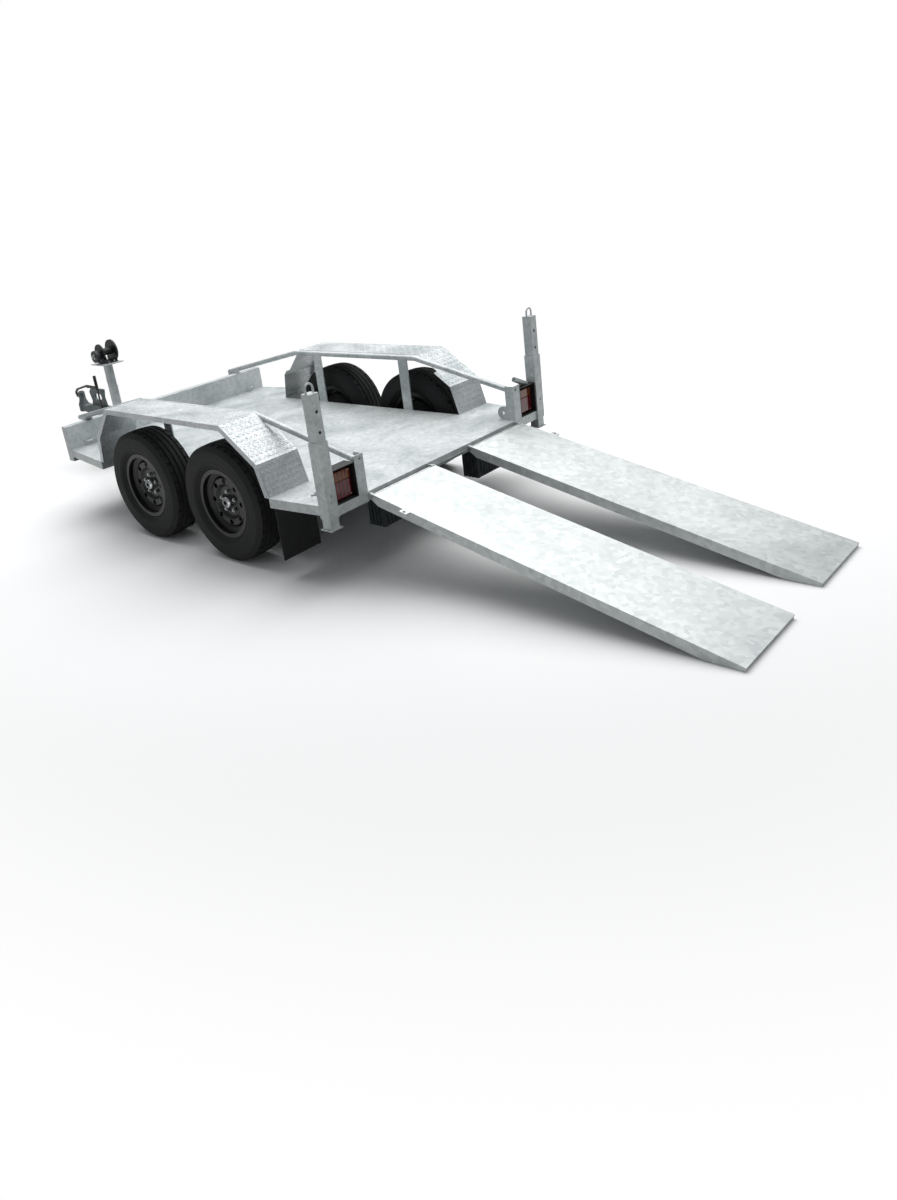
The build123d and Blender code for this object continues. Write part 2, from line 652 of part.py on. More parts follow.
def leg_sleeves():
    """Square sleeves at the tail corners, each with a spring latch on its front face."""
    half = SLEEVE_SIDE / 2
    bore = LEG_SIDE / 2 + LEG_CLEARANCE
    sleeve = block(LEG_X - half, LEG_X + half, LEG_Y - half, LEG_Y + half, WING_BOTTOM, SLEEVE_TOP)
    sleeve = sleeve - block(
        LEG_X - bore, LEG_X + bore, LEG_Y - bore, LEG_Y + bore, WING_BOTTOM - 1, SLEEVE_TOP + 1
    )
    sleeve = sleeve - rod_x(LEG_X - half - 1, LEG_X, LEG_Y, SLEEVE_PIN_Z, PIN_HOLE_RADIUS)
    barrel = rod_x(LEG_X + half, LEG_X + half + 46, LEG_Y, SLEEVE_PIN_Z, 13.0)
    barrel = barrel - rod_x(LEG_X + half - 1, LEG_X + half + 10, LEG_Y, SLEEVE_PIN_Z, 8.0)
    grip = rod_y(LEG_X + half + 40, LEG_Y - 30, LEG_Y + 30, SLEEVE_PIN_Z, 6.0)
    sleeve = sleeve + barrel + grip
    return [sleeve, mirrored(sleeve)]


def stabiliser_leg(side):
    """Square leg with a foot plate below, a pull handle on top and a row of pin holes."""
    half = LEG_SIDE / 2
    inner = half - LEG_WALL
    tube_bottom = FOOT_BOTTOM + FOOT_PLATE
    leg = block(LEG_X - half, LEG_X + half, LEG_Y - half, LEG_Y + half, tube_bottom, LEG_TOP)
    leg = leg - block(
        LEG_X - inner, LEG_X + inner, LEG_Y - inner, LEG_Y + inner, tube_bottom, LEG_TOP - LEG_WALL
    )
    foot = block(
        LEG_X - FOOT_SIDE / 2, LEG_X + FOOT_SIDE / 2, LEG_Y - FOOT_SIDE / 2, LEG_Y + FOOT_SIDE / 2,
        FOOT_BOTTOM, tube_bottom,
    )
    leg = leg + foot
    first = LEG_TOP - PIN_HOLE_TOP_DROP
    for i in range(PIN_HOLE_COUNT):
        z = first - i * PIN_HOLE_PITCH
        leg = leg - rod_x(LEG_X - half - 1, LEG_X + half + 1, LEG_Y, z, PIN_HOLE_RADIUS)
    bow_radius = half - LEG_HANDLE_ROD
    bend = LEG_TOP + LEG_HANDLE_RISE
    foot_z = LEG_TOP - LEG_WALL / 2
    path = Wire([
        Line((LEG_X, LEG_Y - bow_radius, foot_z), (LEG_X, LEG_Y - bow_radius, bend)),
        ThreePointArc((LEG_X, LEG_Y - bow_radius, bend), (LEG_X, LEG_Y, bend + bow_radius),
                      (LEG_X, LEG_Y + bow_radius, bend)),
        Line((LEG_X, LEG_Y + bow_radius, bend), (LEG_X, LEG_Y + bow_radius, foot_z)),
    ])
    start = Plane(origin=path @ 0, z_dir=path % 0)
    bow = sweep(start * Circle(LEG_HANDLE_ROD), path=path)
    return on_side(leg + bow, side)


def mudflaps():
    x = GUARD_REAR_X - WING_FRAME_WIDTH
    flap = block(x - FLAP_SHEET, x, FLAP_INNER_Y, FLAP_OUTER_Y, FLAP_BOTTOM, FRAME_TOP - 3)
    inner_edge = CHASSIS_OUTER_Y + WING_FRAME_WIDTH
    outer_edge = WING_HALF_WIDTH - WING_FRAME_WIDTH - 8
    trim = block(x - 9, x + 1, inner_edge, outer_edge, WING_BOTTOM, FRAME_TOP)
    upper = block(x - 9, x + 1, 0, 2 * WING_HALF_WIDTH, WING_BOTTOM - 1, FRAME_TOP)
    flap = (flap - upper) + (flap & trim) + block(
        x - FLAP_SHEET, x, max(FLAP_INNER_Y, inner_edge), outer_edge, WING_BOTTOM - 2, WING_BOTTOM
    )
    return [flap, mirrored(flap)]


def tail_blocks():
    """Ribbed blocks under the first cross member, on the centre line of each ramp."""
    y = (RAMP_INNER_Y + RAMP_OUTER_Y) / 2
    x0 = CROSS_MEMBER_FIRST_X - BLOCK_LENGTH / 2
    x1 = x0 + BLOCK_LENGTH
    y0 = y - BLOCK_WIDTH / 2
    y1 = y + BLOCK_WIDTH / 2
    body = block(x0, x1, y0, y1, BLOCK_BOTTOM, FRAME_BOTTOM)
    groove_top = FRAME_BOTTOM - 2 * BLOCK_GROOVE
    across = int(BLOCK_WIDTH / BLOCK_GROOVE_PITCH) - 1
    along = int(BLOCK_LENGTH / BLOCK_GROOVE_PITCH) - 1
    for i in range(across):
        gy = y + (i - (across - 1) / 2) * BLOCK_GROOVE_PITCH
        for gx in (x0, x1):
            body = body - block(gx - BLOCK_GROOVE, gx + BLOCK_GROOVE, gy - BLOCK_GROOVE / 2,
                                gy + BLOCK_GROOVE / 2, BLOCK_BOTTOM - 1, groove_top)
    for i in range(along):
        gx = (x0 + x1) / 2 + (i - (along - 1) / 2) * BLOCK_GROOVE_PITCH
        for gy in (y0, y1):
            body = body - block(gx - BLOCK_GROOVE / 2, gx + BLOCK_GROOVE / 2, gy - BLOCK_GROOVE,
                                gy + BLOCK_GROOVE, BLOCK_BOTTOM - 1, groove_top)
    return [body, mirrored(body)]


def axle(x):
    """Dropped axle: square beam, a crank plate at each end and the wheel spindles."""
    z = TYRE_RADIUS - AXLE_DROP
    half = AXLE_BEAM / 2
    crank_y = CHASSIS_Y + SPRING_WIDTH / 2 + 4
    beam = block(x - half, x + half, -crank_y, crank_y, z - half, z + half)
    for side in SIDES.values():
        crank = block(x - half, x + half, crank_y, crank_y + CRANK_THICKNESS, z - half, TYRE_RADIUS)
        crank = crank + rod_y(x, crank_y, crank_y + CRANK_THICKNESS, TYRE_RADIUS, half)
        spindle = rod_y(x, crank_y + CRANK_THICKNESS, hub_back() + DRUM_LENGTH, TYRE_RADIUS,
                        SPINDLE_RADIUS)
        back = hub_back() - DRUM_GAP
        plate = rod_y(x, back - BACKING_PLATE, back, TYRE_RADIUS, DRUM_RADIUS)
        beam = beam + on_side(crank + spindle + plate, side)
    return beam


def hub_back():
    """Y of the drum's open inner edge on the left."""
    return WHEEL_Y + DISC_FACE - DRUM_LENGTH


def spring_leaf(x, length, thickness_from, thickness_to):
    """One curved leaf: an arc through the axle clamp and the eyes, cut to its own length."""
    radius = (SPRING_HALF_SPAN ** 2 + SPRING_RISE ** 2) / (2 * SPRING_RISE)
    centre_z = EYE_Z - SPRING_RISE + radius
    angle = asin(length / radius)
    rim = radius + thickness_from
    core = radius + thickness_to
    y0 = CHASSIS_Y - SPRING_WIDTH / 2
    ends = []
    for r, signs in ((rim, (-1, 0, 1)), (core, (1, 0, -1))):
        ends.append([(x + r * sin(s * angle), y0, centre_z - r * cos(s * angle)) for s in signs])
    outline = [
        ThreePointArc(*ends[0]),
        Line(ends[0][2], ends[1][0]),
        ThreePointArc(*ends[1]),
        Line(ends[1][2], ends[0][0]),
    ]
    return extrude(make_face(Wire(outline)), amount=SPRING_WIDTH, dir=(0, 1, 0))


def leaf_springs():
    """Four springs, each a stack of curved leaves with an eye at both ends."""
    springs = []
    y0 = CHASSIS_Y - SPRING_WIDTH / 2
    y1 = CHASSIS_Y + SPRING_WIDTH / 2
    for x in AXLE_STATIONS.values():
        spring = None
        for i, share in enumerate(SPRING_LEAF_SHARES):
            leaf = spring_leaf(
                x, share * SPRING_HALF_SPAN, i * SPRING_LEAF - 0.05, (i + 1) * SPRING_LEAF
            )
            spring = leaf if spring is None else spring + leaf
        for end in (-1, 1):
            ex = x + end * SPRING_HALF_SPAN
            spring = spring + rod_y(ex, y0, y1, EYE_Z - SPRING_LEAF / 2, EYE_RADIUS)
        for end in (-1, 1):
            ex = x + end * SPRING_HALF_SPAN
            spring = spring - rod_y(ex, y0 - 1, y1 + 1, EYE_Z - SPRING_LEAF / 2,
                                    EYE_PIN_RADIUS + FIT)
        springs.append(spring)
    return springs + [mirrored(spring) for spring in springs]


def spring_hangers():
    """Cheeks under the chassis rails that hold the spring eyes, with the equaliser in the middle."""
    eye_z = EYE_Z - SPRING_LEAF / 2
    inner = CHASSIS_Y - SPRING_WIDTH / 2 - FIT
    outer = CHASSIS_Y + SPRING_WIDTH / 2 + FIT
    low = eye_z - EYE_RADIUS
    pieces = []
    rear_eye = REAR_AXLE_X - SPRING_HALF_SPAN
    front_eye = FRONT_AXLE_X + SPRING_HALF_SPAN
    middle_eyes = (REAR_AXLE_X + SPRING_HALF_SPAN, FRONT_AXLE_X - SPRING_HALF_SPAN)
    spans = ((rear_eye, rear_eye), (front_eye, front_eye), middle_eyes)
    for x0, x1 in spans:
        hanger = None
        for y0, y1 in ((inner - HANGER_CHEEK, inner), (outer, outer + HANGER_CHEEK)):
            cheek = block(x0 - 2 * EYE_RADIUS, x1 + 2 * EYE_RADIUS, y0, y1, low, FRAME_BOTTOM)
            hanger = cheek if hanger is None else hanger + cheek
        for x in {x0, x1}:
            hanger = hanger + rod_y(x, inner - 2 * HANGER_CHEEK, outer + 2 * HANGER_CHEEK, eye_z,
                                    EYE_PIN_RADIUS)
        pieces.append(hanger)
    return pieces + [mirrored(piece) for piece in pieces]


def about_wheel(profile_face, x, y, side):
    """Turns a profile drawn as (radius, width) about the wheel's axis and sets it in place."""
    turned = revolve(profile_face, axis=Axis.Y)
    placed = Pos(x, y, TYRE_RADIUS) * turned
    return on_side(placed, side)


def tyre(x, side):
    seat = BEAD_RADIUS + FIT
    bead = BEAD_HALF_WIDTH - FIT
    bulge_r = (seat + TYRE_RADIUS) / 2 - 2
    shoulder_r = TYRE_RADIUS - 4
    lip = RIM_LIP_RADIUS + 3
    pieces = [
        Line((seat, -bead, 0), (lip, -bead, 0)),
        ThreePointArc((lip, -bead, 0), (bulge_r, -TYRE_HALF_WIDTH, 0),
                      (TYRE_RADIUS - 16, -TREAD_HALF_WIDTH - 8, 0)),
        Line((TYRE_RADIUS - 16, -TREAD_HALF_WIDTH - 8, 0), (shoulder_r, -TREAD_HALF_WIDTH, 0)),
        ThreePointArc((shoulder_r, -TREAD_HALF_WIDTH, 0), (TYRE_RADIUS, 0, 0),
                      (shoulder_r, TREAD_HALF_WIDTH, 0)),
        Line((shoulder_r, TREAD_HALF_WIDTH, 0), (TYRE_RADIUS - 16, TREAD_HALF_WIDTH + 8, 0)),
        ThreePointArc((TYRE_RADIUS - 16, TREAD_HALF_WIDTH + 8, 0), (bulge_r, TYRE_HALF_WIDTH, 0),
                      (lip, bead, 0)),
        Line((lip, bead, 0), (seat, bead, 0)),
        Line((seat, bead, 0), (seat, -bead, 0)),
    ]
    return about_wheel(make_face(Wire(pieces)), x, WHEEL_Y, side)


def rim(x, side):
    """Pressed steel wheel: barrel with a well and two lips, and a disc with round windows."""
    seat = BEAD_RADIUS
    lip = RIM_LIP_RADIUS
    half = BEAD_HALF_WIDTH
    well = WELL_RADIUS
    wall = RIM_WALL
    face = DISC_FACE
    bulge = DISC_FACE + DISC_BULGE
    barrel = (
        (lip, -half - wall), (lip, -half), (seat, -half), (seat, -half + 22), (well, -half + 34),
        (well, half - 34), (seat, half - 22), (seat, half), (lip, half), (lip, half + wall),
        (seat - wall, half + wall), (seat - wall, half - 24), (well - wall, half - 37),
        (well - wall, -half + 37), (seat - wall, -half + 24), (seat - wall, -half - wall),
    )
    disc = (
        (well - wall + 1, bulge - 12), (well - wall + 1, bulge - 12 + wall), (134, bulge + wall),
        (102, bulge + wall), (84, face + wall + 2), (HUB_RADIUS + FIT, face + wall + 2),
        (HUB_RADIUS + FIT, face), (82, face), (99, bulge), (134, bulge),
    )
    wheel = None
    for outline in (barrel, disc):
        profile = make_face(Polyline(*[(r, w, 0) for r, w in outline], close=True))
        piece = revolve(profile, axis=Axis.Y)
        wheel = piece if wheel is None else wheel + piece
    for i in range(WINDOW_COUNT):
        turn = Rot(0, i * 360 / WINDOW_COUNT, 0)
        window = rod_y(WINDOW_CIRCLE_RADIUS, face - 5, bulge + 20, 0, 15.0)
        wheel = wheel - turn * window
    for i in range(STUD_COUNT):
        turn = Rot(0, i * 360 / STUD_COUNT, 0)
        hole = rod_y(STUD_CIRCLE_RADIUS, face - 2, face + 12, 0, STUD_HOLE_RADIUS)
        wheel = wheel - turn * hole
    return on_side(Pos(x, WHEEL_Y, TYRE_RADIUS) * wheel, side)


def hub(x, side):
    """Hub with its brake drum behind the wheel disc and its cap out through the middle."""
    face = DISC_FACE - 0.02
    back = DISC_FACE - DRUM_LENGTH
    cap = DISC_FACE + RIM_WALL + HUB_CAP_LENGTH
    bore = SPINDLE_RADIUS + 0.05
    outline = (
        (bore, face - 14), (bore, back + 6), (HUB_RADIUS + 6, back + 6), (HUB_RADIUS + 6, face - 12),
        (DRUM_RADIUS - 8, face - 12), (DRUM_RADIUS - 8, back), (DRUM_RADIUS, back),
        (DRUM_RADIUS, face - 6), (DRUM_RADIUS - 6, face - 6 + 0.5), (82, face), (HUB_RADIUS, face),
        (HUB_RADIUS, cap - 16), (HUB_RADIUS - 6, cap - 12), (HUB_RADIUS - 7, cap - 3),
        (HUB_RADIUS - 10, cap), (0, cap), (0, DISC_FACE + 1), (bore, DISC_FACE + 1),
    )
    profile = make_face(Polyline(*[(r, w, 0) for r, w in outline], close=True))
    return about_wheel(profile, x, WHEEL_Y, side)


def drawbar():
    """A-frame of two box sections under the chassis, joined by the nose plates."""
    top = FRAME_BOTTOM
    bottom = top - CHASSIS_DEPTH
    run = DRAWBAR_NOSE_X - DRAWBAR_REAR_X
    spread = DRAWBAR_REAR_Y - DRAWBAR_NOSE_Y
    angle = atan2(spread, run)
    length = hypot(run, spread)
    arm = hollow_x(0, length, -CHASSIS_WIDTH / 2, CHASSIS_WIDTH / 2, bottom, top, DRAWBAR_WALL)
    arm = Pos(DRAWBAR_REAR_X, DRAWBAR_REAR_Y, 0) * Rot(0, 0, -degrees(angle)) * arm
    arm = arm & block(0, 2 * DRAWBAR_NOSE_X, 2, 2 * DRAWBAR_REAR_Y, bottom - 1, top + 1)
    frame = arm + mirrored(arm)
    width = DRAWBAR_NOSE_Y + CHASSIS_WIDTH / 2
    nose_end = DRAWBAR_NOSE_X + NOSE_END
    tail = WINCH_POST_X - 2 * WINCH_POST_SIDE
    flare = width + (nose_end - tail) * spread / run
    for z0, z1 in ((top, top + NOSE_PLATE), (bottom - NOSE_PLATE, bottom)):
        plate = plate_xy(
            ((tail, -flare), (nose_end, -width), (nose_end, width), (tail, flare)), z0, z1
        )
        frame = frame + plate
    end = block(nose_end - NOSE_PLATE, nose_end, -width, width, bottom, top)
    return frame + end


def winch_post():
    """Box post on the nose plate, with front gusset and the winch plate on top."""
    half = WINCH_POST_SIDE / 2
    base = FRAME_BOTTOM + NOSE_PLATE
    post = block(WINCH_POST_X - half, WINCH_POST_X + half, -half, half, base, WINCH_POST_TOP)
    gusset = plate_xz(
        (
            (WINCH_POST_X + half, base), (WINCH_POST_X + half + GUSSET_RUN, base),
            (WINCH_POST_X + half, base + GUSSET_RISE),
        ),
        -NOSE_PLATE / 2, NOSE_PLATE / 2,
    )
    plate = block(
        WINCH_POST_X - WINCH_PLATE_LENGTH / 2, WINCH_POST_X + WINCH_PLATE_LENGTH / 2,
        -WINCH_PLATE_WIDTH / 2, WINCH_PLATE_WIDTH / 2, WINCH_POST_TOP, WINCH_POST_TOP + WINCH_PLATE,
    )
    return post + gusset + plate


def winch():
    """Hand winch across the post: two cheeks, a bare drum, the gear wheel and the brake hub."""
    base = WINCH_POST_TOP + WINCH_PLATE
    axis_z = base + WINCH_AXIS_RISE
    x = WINCH_POST_X
    half = WINCH_CHEEK_GAP / 2
    middle = -10.0
    right = middle - half
    left = middle + half
    body = block(x - 70, x + 70, right - WINCH_CHEEK, left + WINCH_CHEEK, base, base + WINCH_CHEEK)
    for y0 in (right - WINCH_CHEEK, left):
        cheek = plate_xz(
            (
                (x - 70, base), (x + 70, base), (x + 70, base + 30), (x + 40, axis_z + 30),
                (x - 40, axis_z + 30), (x - 70, base + 30),
            ),
            y0, y0 + WINCH_CHEEK,
        )
        body = body + cheek
    drum = rod_y(x, right - 1, left + 1, axis_z, WINCH_DRUM_RADIUS)
    gear_y = right - WINCH_CHEEK
    gear = rod_y(x, gear_y - 14, gear_y, axis_z, WINCH_GEAR_RADIUS)
    gear = gear - rod_y(x, gear_y - 15, gear_y - 8, axis_z, WINCH_GEAR_RADIUS - 12)
    gear = gear + rod_y(x, gear_y - 20, gear_y - 6, axis_z, WINCH_DRUM_RADIUS)
    flange_y = left + WINCH_CHEEK
    flange = rod_y(x, flange_y, flange_y + 10, axis_z, WINCH_FLANGE_RADIUS)
    brake_z = axis_z - 20
    neck = rod_y(x, flange_y + 9, flange_y + 36, brake_z, WINCH_DRUM_RADIUS)
    brake = rod_y(x, flange_y + 36, flange_y + 60, brake_z, WINCH_BRAKE_RADIUS)
    return body + drum + gear + flange + neck + brake


def coupling_body():
    """Coupling: channel base on the nose, slotted bracket above it and the ball head in front."""
    bottom = FRAME_BOTTOM + NOSE_PLATE
    half = COUPLING_WIDTH / 2
    rear = WINCH_POST_X + WINCH_POST_SIDE / 2 + GUSSET_RUN + FIT
    base = plate_xz(
        (
            (rear, bottom), (BRACKET_X + 90, bottom), (BALL_X - 40, HEAD_BOTTOM + 6),
            (BALL_X, HEAD_BOTTOM + 10), (BALL_X, HEAD_BOTTOM + 66),
            (BALL_X - HANDLE_REACH, HEAD_BOTTOM + 52), (BRACKET_X + BRACKET_SLOT_LENGTH, bottom + 80),
            (rear, bottom + 62),
        ),
        -half, half,
    )
    floor = DRAWBAR_NOSE_X + NOSE_END
    base = base - plate_xz(
        (
            (floor, 0), (BALL_X - CUP_RADIUS, 0), (BALL_X - CUP_RADIUS, HEAD_BOTTOM + 40),
            (BRACKET_X + BRACKET_SLOT_LENGTH, bottom + 60), (floor, bottom + 50),
        ),
        -half + NOSE_PLATE, half - NOSE_PLATE,
    )
    bracket = plate_xz(
        (
            (BRACKET_X - 110, bottom + 40), (BRACKET_X + 150, bottom + 40),
            (BRACKET_X + 108, BRACKET_SLOT_Z - 40), (BRACKET_X + 130, BRACKET_SLOT_Z + 34),
            (BRACKET_X + 96, BRACKET_TOP), (BRACKET_X - 104, BRACKET_TOP),
            (BRACKET_X - 84, BRACKET_SLOT_Z),
        ),
        -BRACKET_THICKNESS / 2, BRACKET_THICKNESS / 2,
    )
    bracket = fillet(bracket.edges().filter_by(Axis.Y), 8.0)
    slot = Pos(BRACKET_X, 0, BRACKET_SLOT_Z) * Rot(90, 0, 0) * extrude(
        SlotOverall(BRACKET_SLOT_LENGTH, BRACKET_SLOT_HEIGHT), BRACKET_THICKNESS, both=True
    )
    outline = (
        (0, HEAD_BOTTOM), (CUP_RADIUS - 6, HEAD_BOTTOM), (CUP_RADIUS, HEAD_BOTTOM + 6),
        (CUP_RADIUS, HEAD_BOTTOM + CUP_HEIGHT), (NECK_RADIUS + 4, HEAD_BOTTOM + CUP_HEIGHT + 26),
        (NECK_RADIUS, HEAD_BOTTOM + CUP_HEIGHT + 44), (NECK_RADIUS, HEAD_TOP - 8),
        (NECK_RADIUS - 8, HEAD_TOP), (0, HEAD_TOP),
    )
    profile = make_face(Polyline(*[(r, 0, z) for r, z in outline], close=True))
    head = Pos(BALL_X, 0, 0) * revolve(profile, axis=Axis.Z)
    socket = rod_z(BALL_X, 0, HEAD_BOTTOM - 1, HEAD_BOTTOM + BALL_SOCKET_DEPTH, BALL_SOCKET_RADIUS)
    dome = Pos(BALL_X, 0, HEAD_BOTTOM + BALL_SOCKET_DEPTH) * Sphere(BALL_SOCKET_RADIUS)
    return base + (bracket - slot) + head - socket - dome


def coupling_handle():
    """Latch on the bracket's front and the lift handle that arches over the head."""
    bar = HANDLE_BAR
    top = BRACKET_TOP + 16
    tip = BALL_X + HANDLE_REACH
    outer = (
        (BRACKET_X + 20, top), (BRACKET_X + 170, top + 4), (tip - 40, HEAD_TOP + 20),
        (tip, HEAD_TOP - 14), (tip - 14, HEAD_TOP - 52), (BALL_X + NECK_RADIUS + FIT, HEAD_TOP - 52),
        (BALL_X + NECK_RADIUS + FIT, HEAD_TOP - 52 + bar), (tip - 22, HEAD_TOP - 52 + bar),
        (tip - 16, HEAD_TOP - 16), (tip - 48, HEAD_TOP + 20 - bar), (BRACKET_X + 168, top - bar),
        (BRACKET_X + 140, top - 20), (BRACKET_X + 100, BRACKET_TOP + FIT),
        (BRACKET_X + 20, BRACKET_TOP + FIT),
    )
    handle = plate_xz(outer, -bar / 2, bar / 2)
    return fillet(handle.edges().filter_by(Axis.Y), 2.5)


def brake_lever():
    """Handbrake lever beside the coupling, leaning back a little, with a round grip."""
    y0 = COUPLING_WIDTH / 2
    base = FRAME_BOTTOM + NOSE_PLATE
    x = BRAKE_LEVER_X
    quadrant = plate_xz(
        (
            (x - 36, base + 2), (x + 40, base + 2), (x + 40, base + 50), (x + 12, base + 90),
            (x - 12, base + 90), (x - 36, base + 50),
        ),
        y0, y0 + 6,
    )
    arm = block(x - 9, x + 9, y0 + 6, y0 + 13, base + 26, BRAKE_LEVER_TOP - 90)
    grip = rod_z(x, y0 + 10, BRAKE_LEVER_TOP - 112, BRAKE_LEVER_TOP, 12.0)
    return quadrant + arm + fillet(grip.edges().filter_by(GeomType.CIRCLE), 4.0)


def jockey_y():
    return -(DRAWBAR_NOSE_Y + CHASSIS_WIDTH / 2 + 12 + JOCKEY_TUBE_RADIUS)


def jockey_tube():
    """Outer tube of the jockey wheel, clamped to the side of the nose, with its crank."""
    y = jockey_y()
    bore = JOCKEY_LEG_RADIUS + JOCKEY_FIT
    tube = rod_z(JOCKEY_X, y, JOCKEY_TUBE_BOTTOM, JOCKEY_TUBE_TOP, JOCKEY_TUBE_RADIUS)
    clamp_z = FRAME_BOTTOM - CHASSIS_DEPTH / 2
    wall_y = -(DRAWBAR_NOSE_Y + CHASSIS_WIDTH / 2)
    nose = DRAWBAR_NOSE_X + NOSE_END
    clamp = block(nose, JOCKEY_X + 28, y, wall_y + 30, clamp_z - 24, clamp_z + 24)
    cap = rod_z(JOCKEY_X, y, JOCKEY_TUBE_TOP, JOCKEY_TUBE_TOP + 8, JOCKEY_TUBE_RADIUS + 4)
    stub = rod_z(JOCKEY_X, y, JOCKEY_TUBE_TOP, JOCKEY_TUBE_TOP + 34, 8.0)
    arm = block(JOCKEY_X - 10, JOCKEY_X + 80, y - 6, y + 6, JOCKEY_TUBE_TOP + 22,
                JOCKEY_TUBE_TOP + 34)
    knob = rod_z(JOCKEY_X + 72, y, JOCKEY_TUBE_TOP + 34, JOCKEY_TUBE_TOP + 84, 11.0)
    tube = tube + clamp
    tube = tube - rod_z(JOCKEY_X, y, JOCKEY_TUBE_BOTTOM - 1, JOCKEY_TUBE_TOP, bore)
    return tube + cap + stub + arm + knob


def jockey_leg():
    y = jockey_y()
    top = JOCKEY_TUBE_TOP - JOCKEY_TRAVEL - 10
    leg = rod_z(JOCKEY_X, y, JOCKEY_LEG_BOTTOM, top, JOCKEY_LEG_RADIUS)
    return leg - rod_z(JOCKEY_X, y, JOCKEY_LEG_BOTTOM + 12, top - 12, JOCKEY_LEG_RADIUS - 4)


def jockey_fork():
    """Castor fork: crown plate under the leg and two cheeks down to the wheel's axle."""
    y = jockey_y()
    crown_top = JOCKEY_LEG_BOTTOM - FIT
    half = JOCKEY_WHEEL_WIDTH / 2 + 5
    x = JOCKEY_X - JOCKEY_TRAIL
    crown_bottom = crown_top - JOCKEY_FORK_CROWN
    crown = block(x - 26, JOCKEY_X + 26, y - half - JOCKEY_FORK_PLATE, y + half + JOCKEY_FORK_PLATE,
                  crown_bottom, crown_top)
    fork = crown
    for y0 in (y - half - JOCKEY_FORK_PLATE, y + half):
        cheek = plate_xz(
            (
                (x - 26, crown_bottom), (JOCKEY_X + 26, crown_bottom),
                (x + 16, JOCKEY_WHEEL_RADIUS), (x - 16, JOCKEY_WHEEL_RADIUS),
            ),
            y0, y0 + JOCKEY_FORK_PLATE,
        )
        cheek = cheek + rod_y(x, y0, y0 + JOCKEY_FORK_PLATE, JOCKEY_WHEEL_RADIUS, 16.0)
        fork = fork + cheek
    fork = fork + rod_y(x, y - half - 10, y + half + 10, JOCKEY_WHEEL_RADIUS, 8.0)
    return fork


def jockey_wheel():
    y = jockey_y()
    x = JOCKEY_X - JOCKEY_TRAIL
    half = JOCKEY_WHEEL_WIDTH / 2
    rim = JOCKEY_WHEEL_RADIUS - 28
    outline = (
        (8.05, -half - 3), (18, -half - 3), (22, -10), (rim, -10), (rim + 6, -half),
        (JOCKEY_WHEEL_RADIUS - 8, -half), (JOCKEY_WHEEL_RADIUS, -half + 9),
        (JOCKEY_WHEEL_RADIUS, half - 9), (JOCKEY_WHEEL_RADIUS - 8, half), (rim + 6, half),
        (rim, 10), (22, 10), (18, half + 3), (8.05, half + 3),
    )
    profile = make_face(Polyline(*[(r, w, 0) for r, w in outline], close=True))
    return Pos(x, y, JOCKEY_WHEEL_RADIUS) * revolve(profile, axis=Axis.Y)


def tie_down_loops():
    """Lashing loops at the foot of the front board."""
    ring = Pos(DECK_LENGTH, LOOP_Y, DECK_TOP + 30) * Torus(LOOP_RADIUS, LOOP_ROD_RADIUS)
    loop = ring & block(DECK_LENGTH - 60, DECK_LENGTH, LOOP_Y - 60, LOOP_Y + 60, DECK_TOP,
                        DECK_TOP + 60)
    return [loop, mirrored(loop)]


def build():
    """Every sub-part by its node name."""
    nodes = {
        "deck_plate": deck_plate(),
        "chassis_rails": chassis_rails(),
        "cross_members": cross_members(),
        "wing_frames": wing_frames(),
        "rear_crossbar": rear_crossbar(),
        "hinge_pins": hinge_pins(),
        "front_board": front_board(),
        "side_rails": both(side_rail(1)),
        "rail_supports": rail_supports(),
        "mudguards": both(mudguard(1)),
        "rear_posts": both(rear_post(1)),
        "lamp_boxes": lamp_boxes(),
        "stop_lenses": lenses("stop"),
        "indicator_lenses": lenses("indicator"),
        "leg_sleeves": leg_sleeves(),
        "mudflaps": mudflaps(),
        "tail_blocks": tail_blocks(),
        "axles": [axle(x) for x in AXLE_STATIONS.values()],
        "leaf_springs": leaf_springs(),
        "spring_hangers": spring_hangers(),
        "drawbar": drawbar(),
        "winch_post": winch_post(),
        "winch": winch(),
        "coupling_body": coupling_body(),
        "coupling_handle": coupling_handle(),
        "brake_lever": brake_lever(),
        "jockey_tube": jockey_tube(),
        "jockey_leg": jockey_leg(),
        "jockey_fork": jockey_fork(),
        "jockey_wheel": jockey_wheel(),
        "tie_down_loops": tie_down_loops(),
    }
    for end, x in AXLE_STATIONS.items():
        for name, side in SIDES.items():
            nodes[f"tyre_{end}_{name}"] = tyre(x, side)
            nodes[f"rim_{end}_{name}"] = rim(x, side)
            nodes[f"hub_{end}_{name}"] = hub(x, side)
    for name, side in SIDES.items():
        nodes[f"stabiliser_leg_{name}"] = stabiliser_leg(side)
        nodes[f"ramp_{name}"] = ramp(side)
    return nodes


os.makedirs("parts", exist_ok=True)
to_origin = Pos(-MIDDLE_X, 0, 0)
for node, shape in build().items():
    solids = shape if isinstance(shape, list) else [shape]
    placed = [to_origin * solid for solid in solids]
    whole = placed[0] if len(placed) == 1 else Compound(placed)
    export_step(whole, os.path.join("parts", node + ".step"))
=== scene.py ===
"""Dresses the scissor lift trailer: finishes, tyre treads, wheel fittings and small hardware."""

import json
import math
import bmesh
import bpy
from mathutils import Matrix, Vector
from mathutils.bvhtree import BVHTree


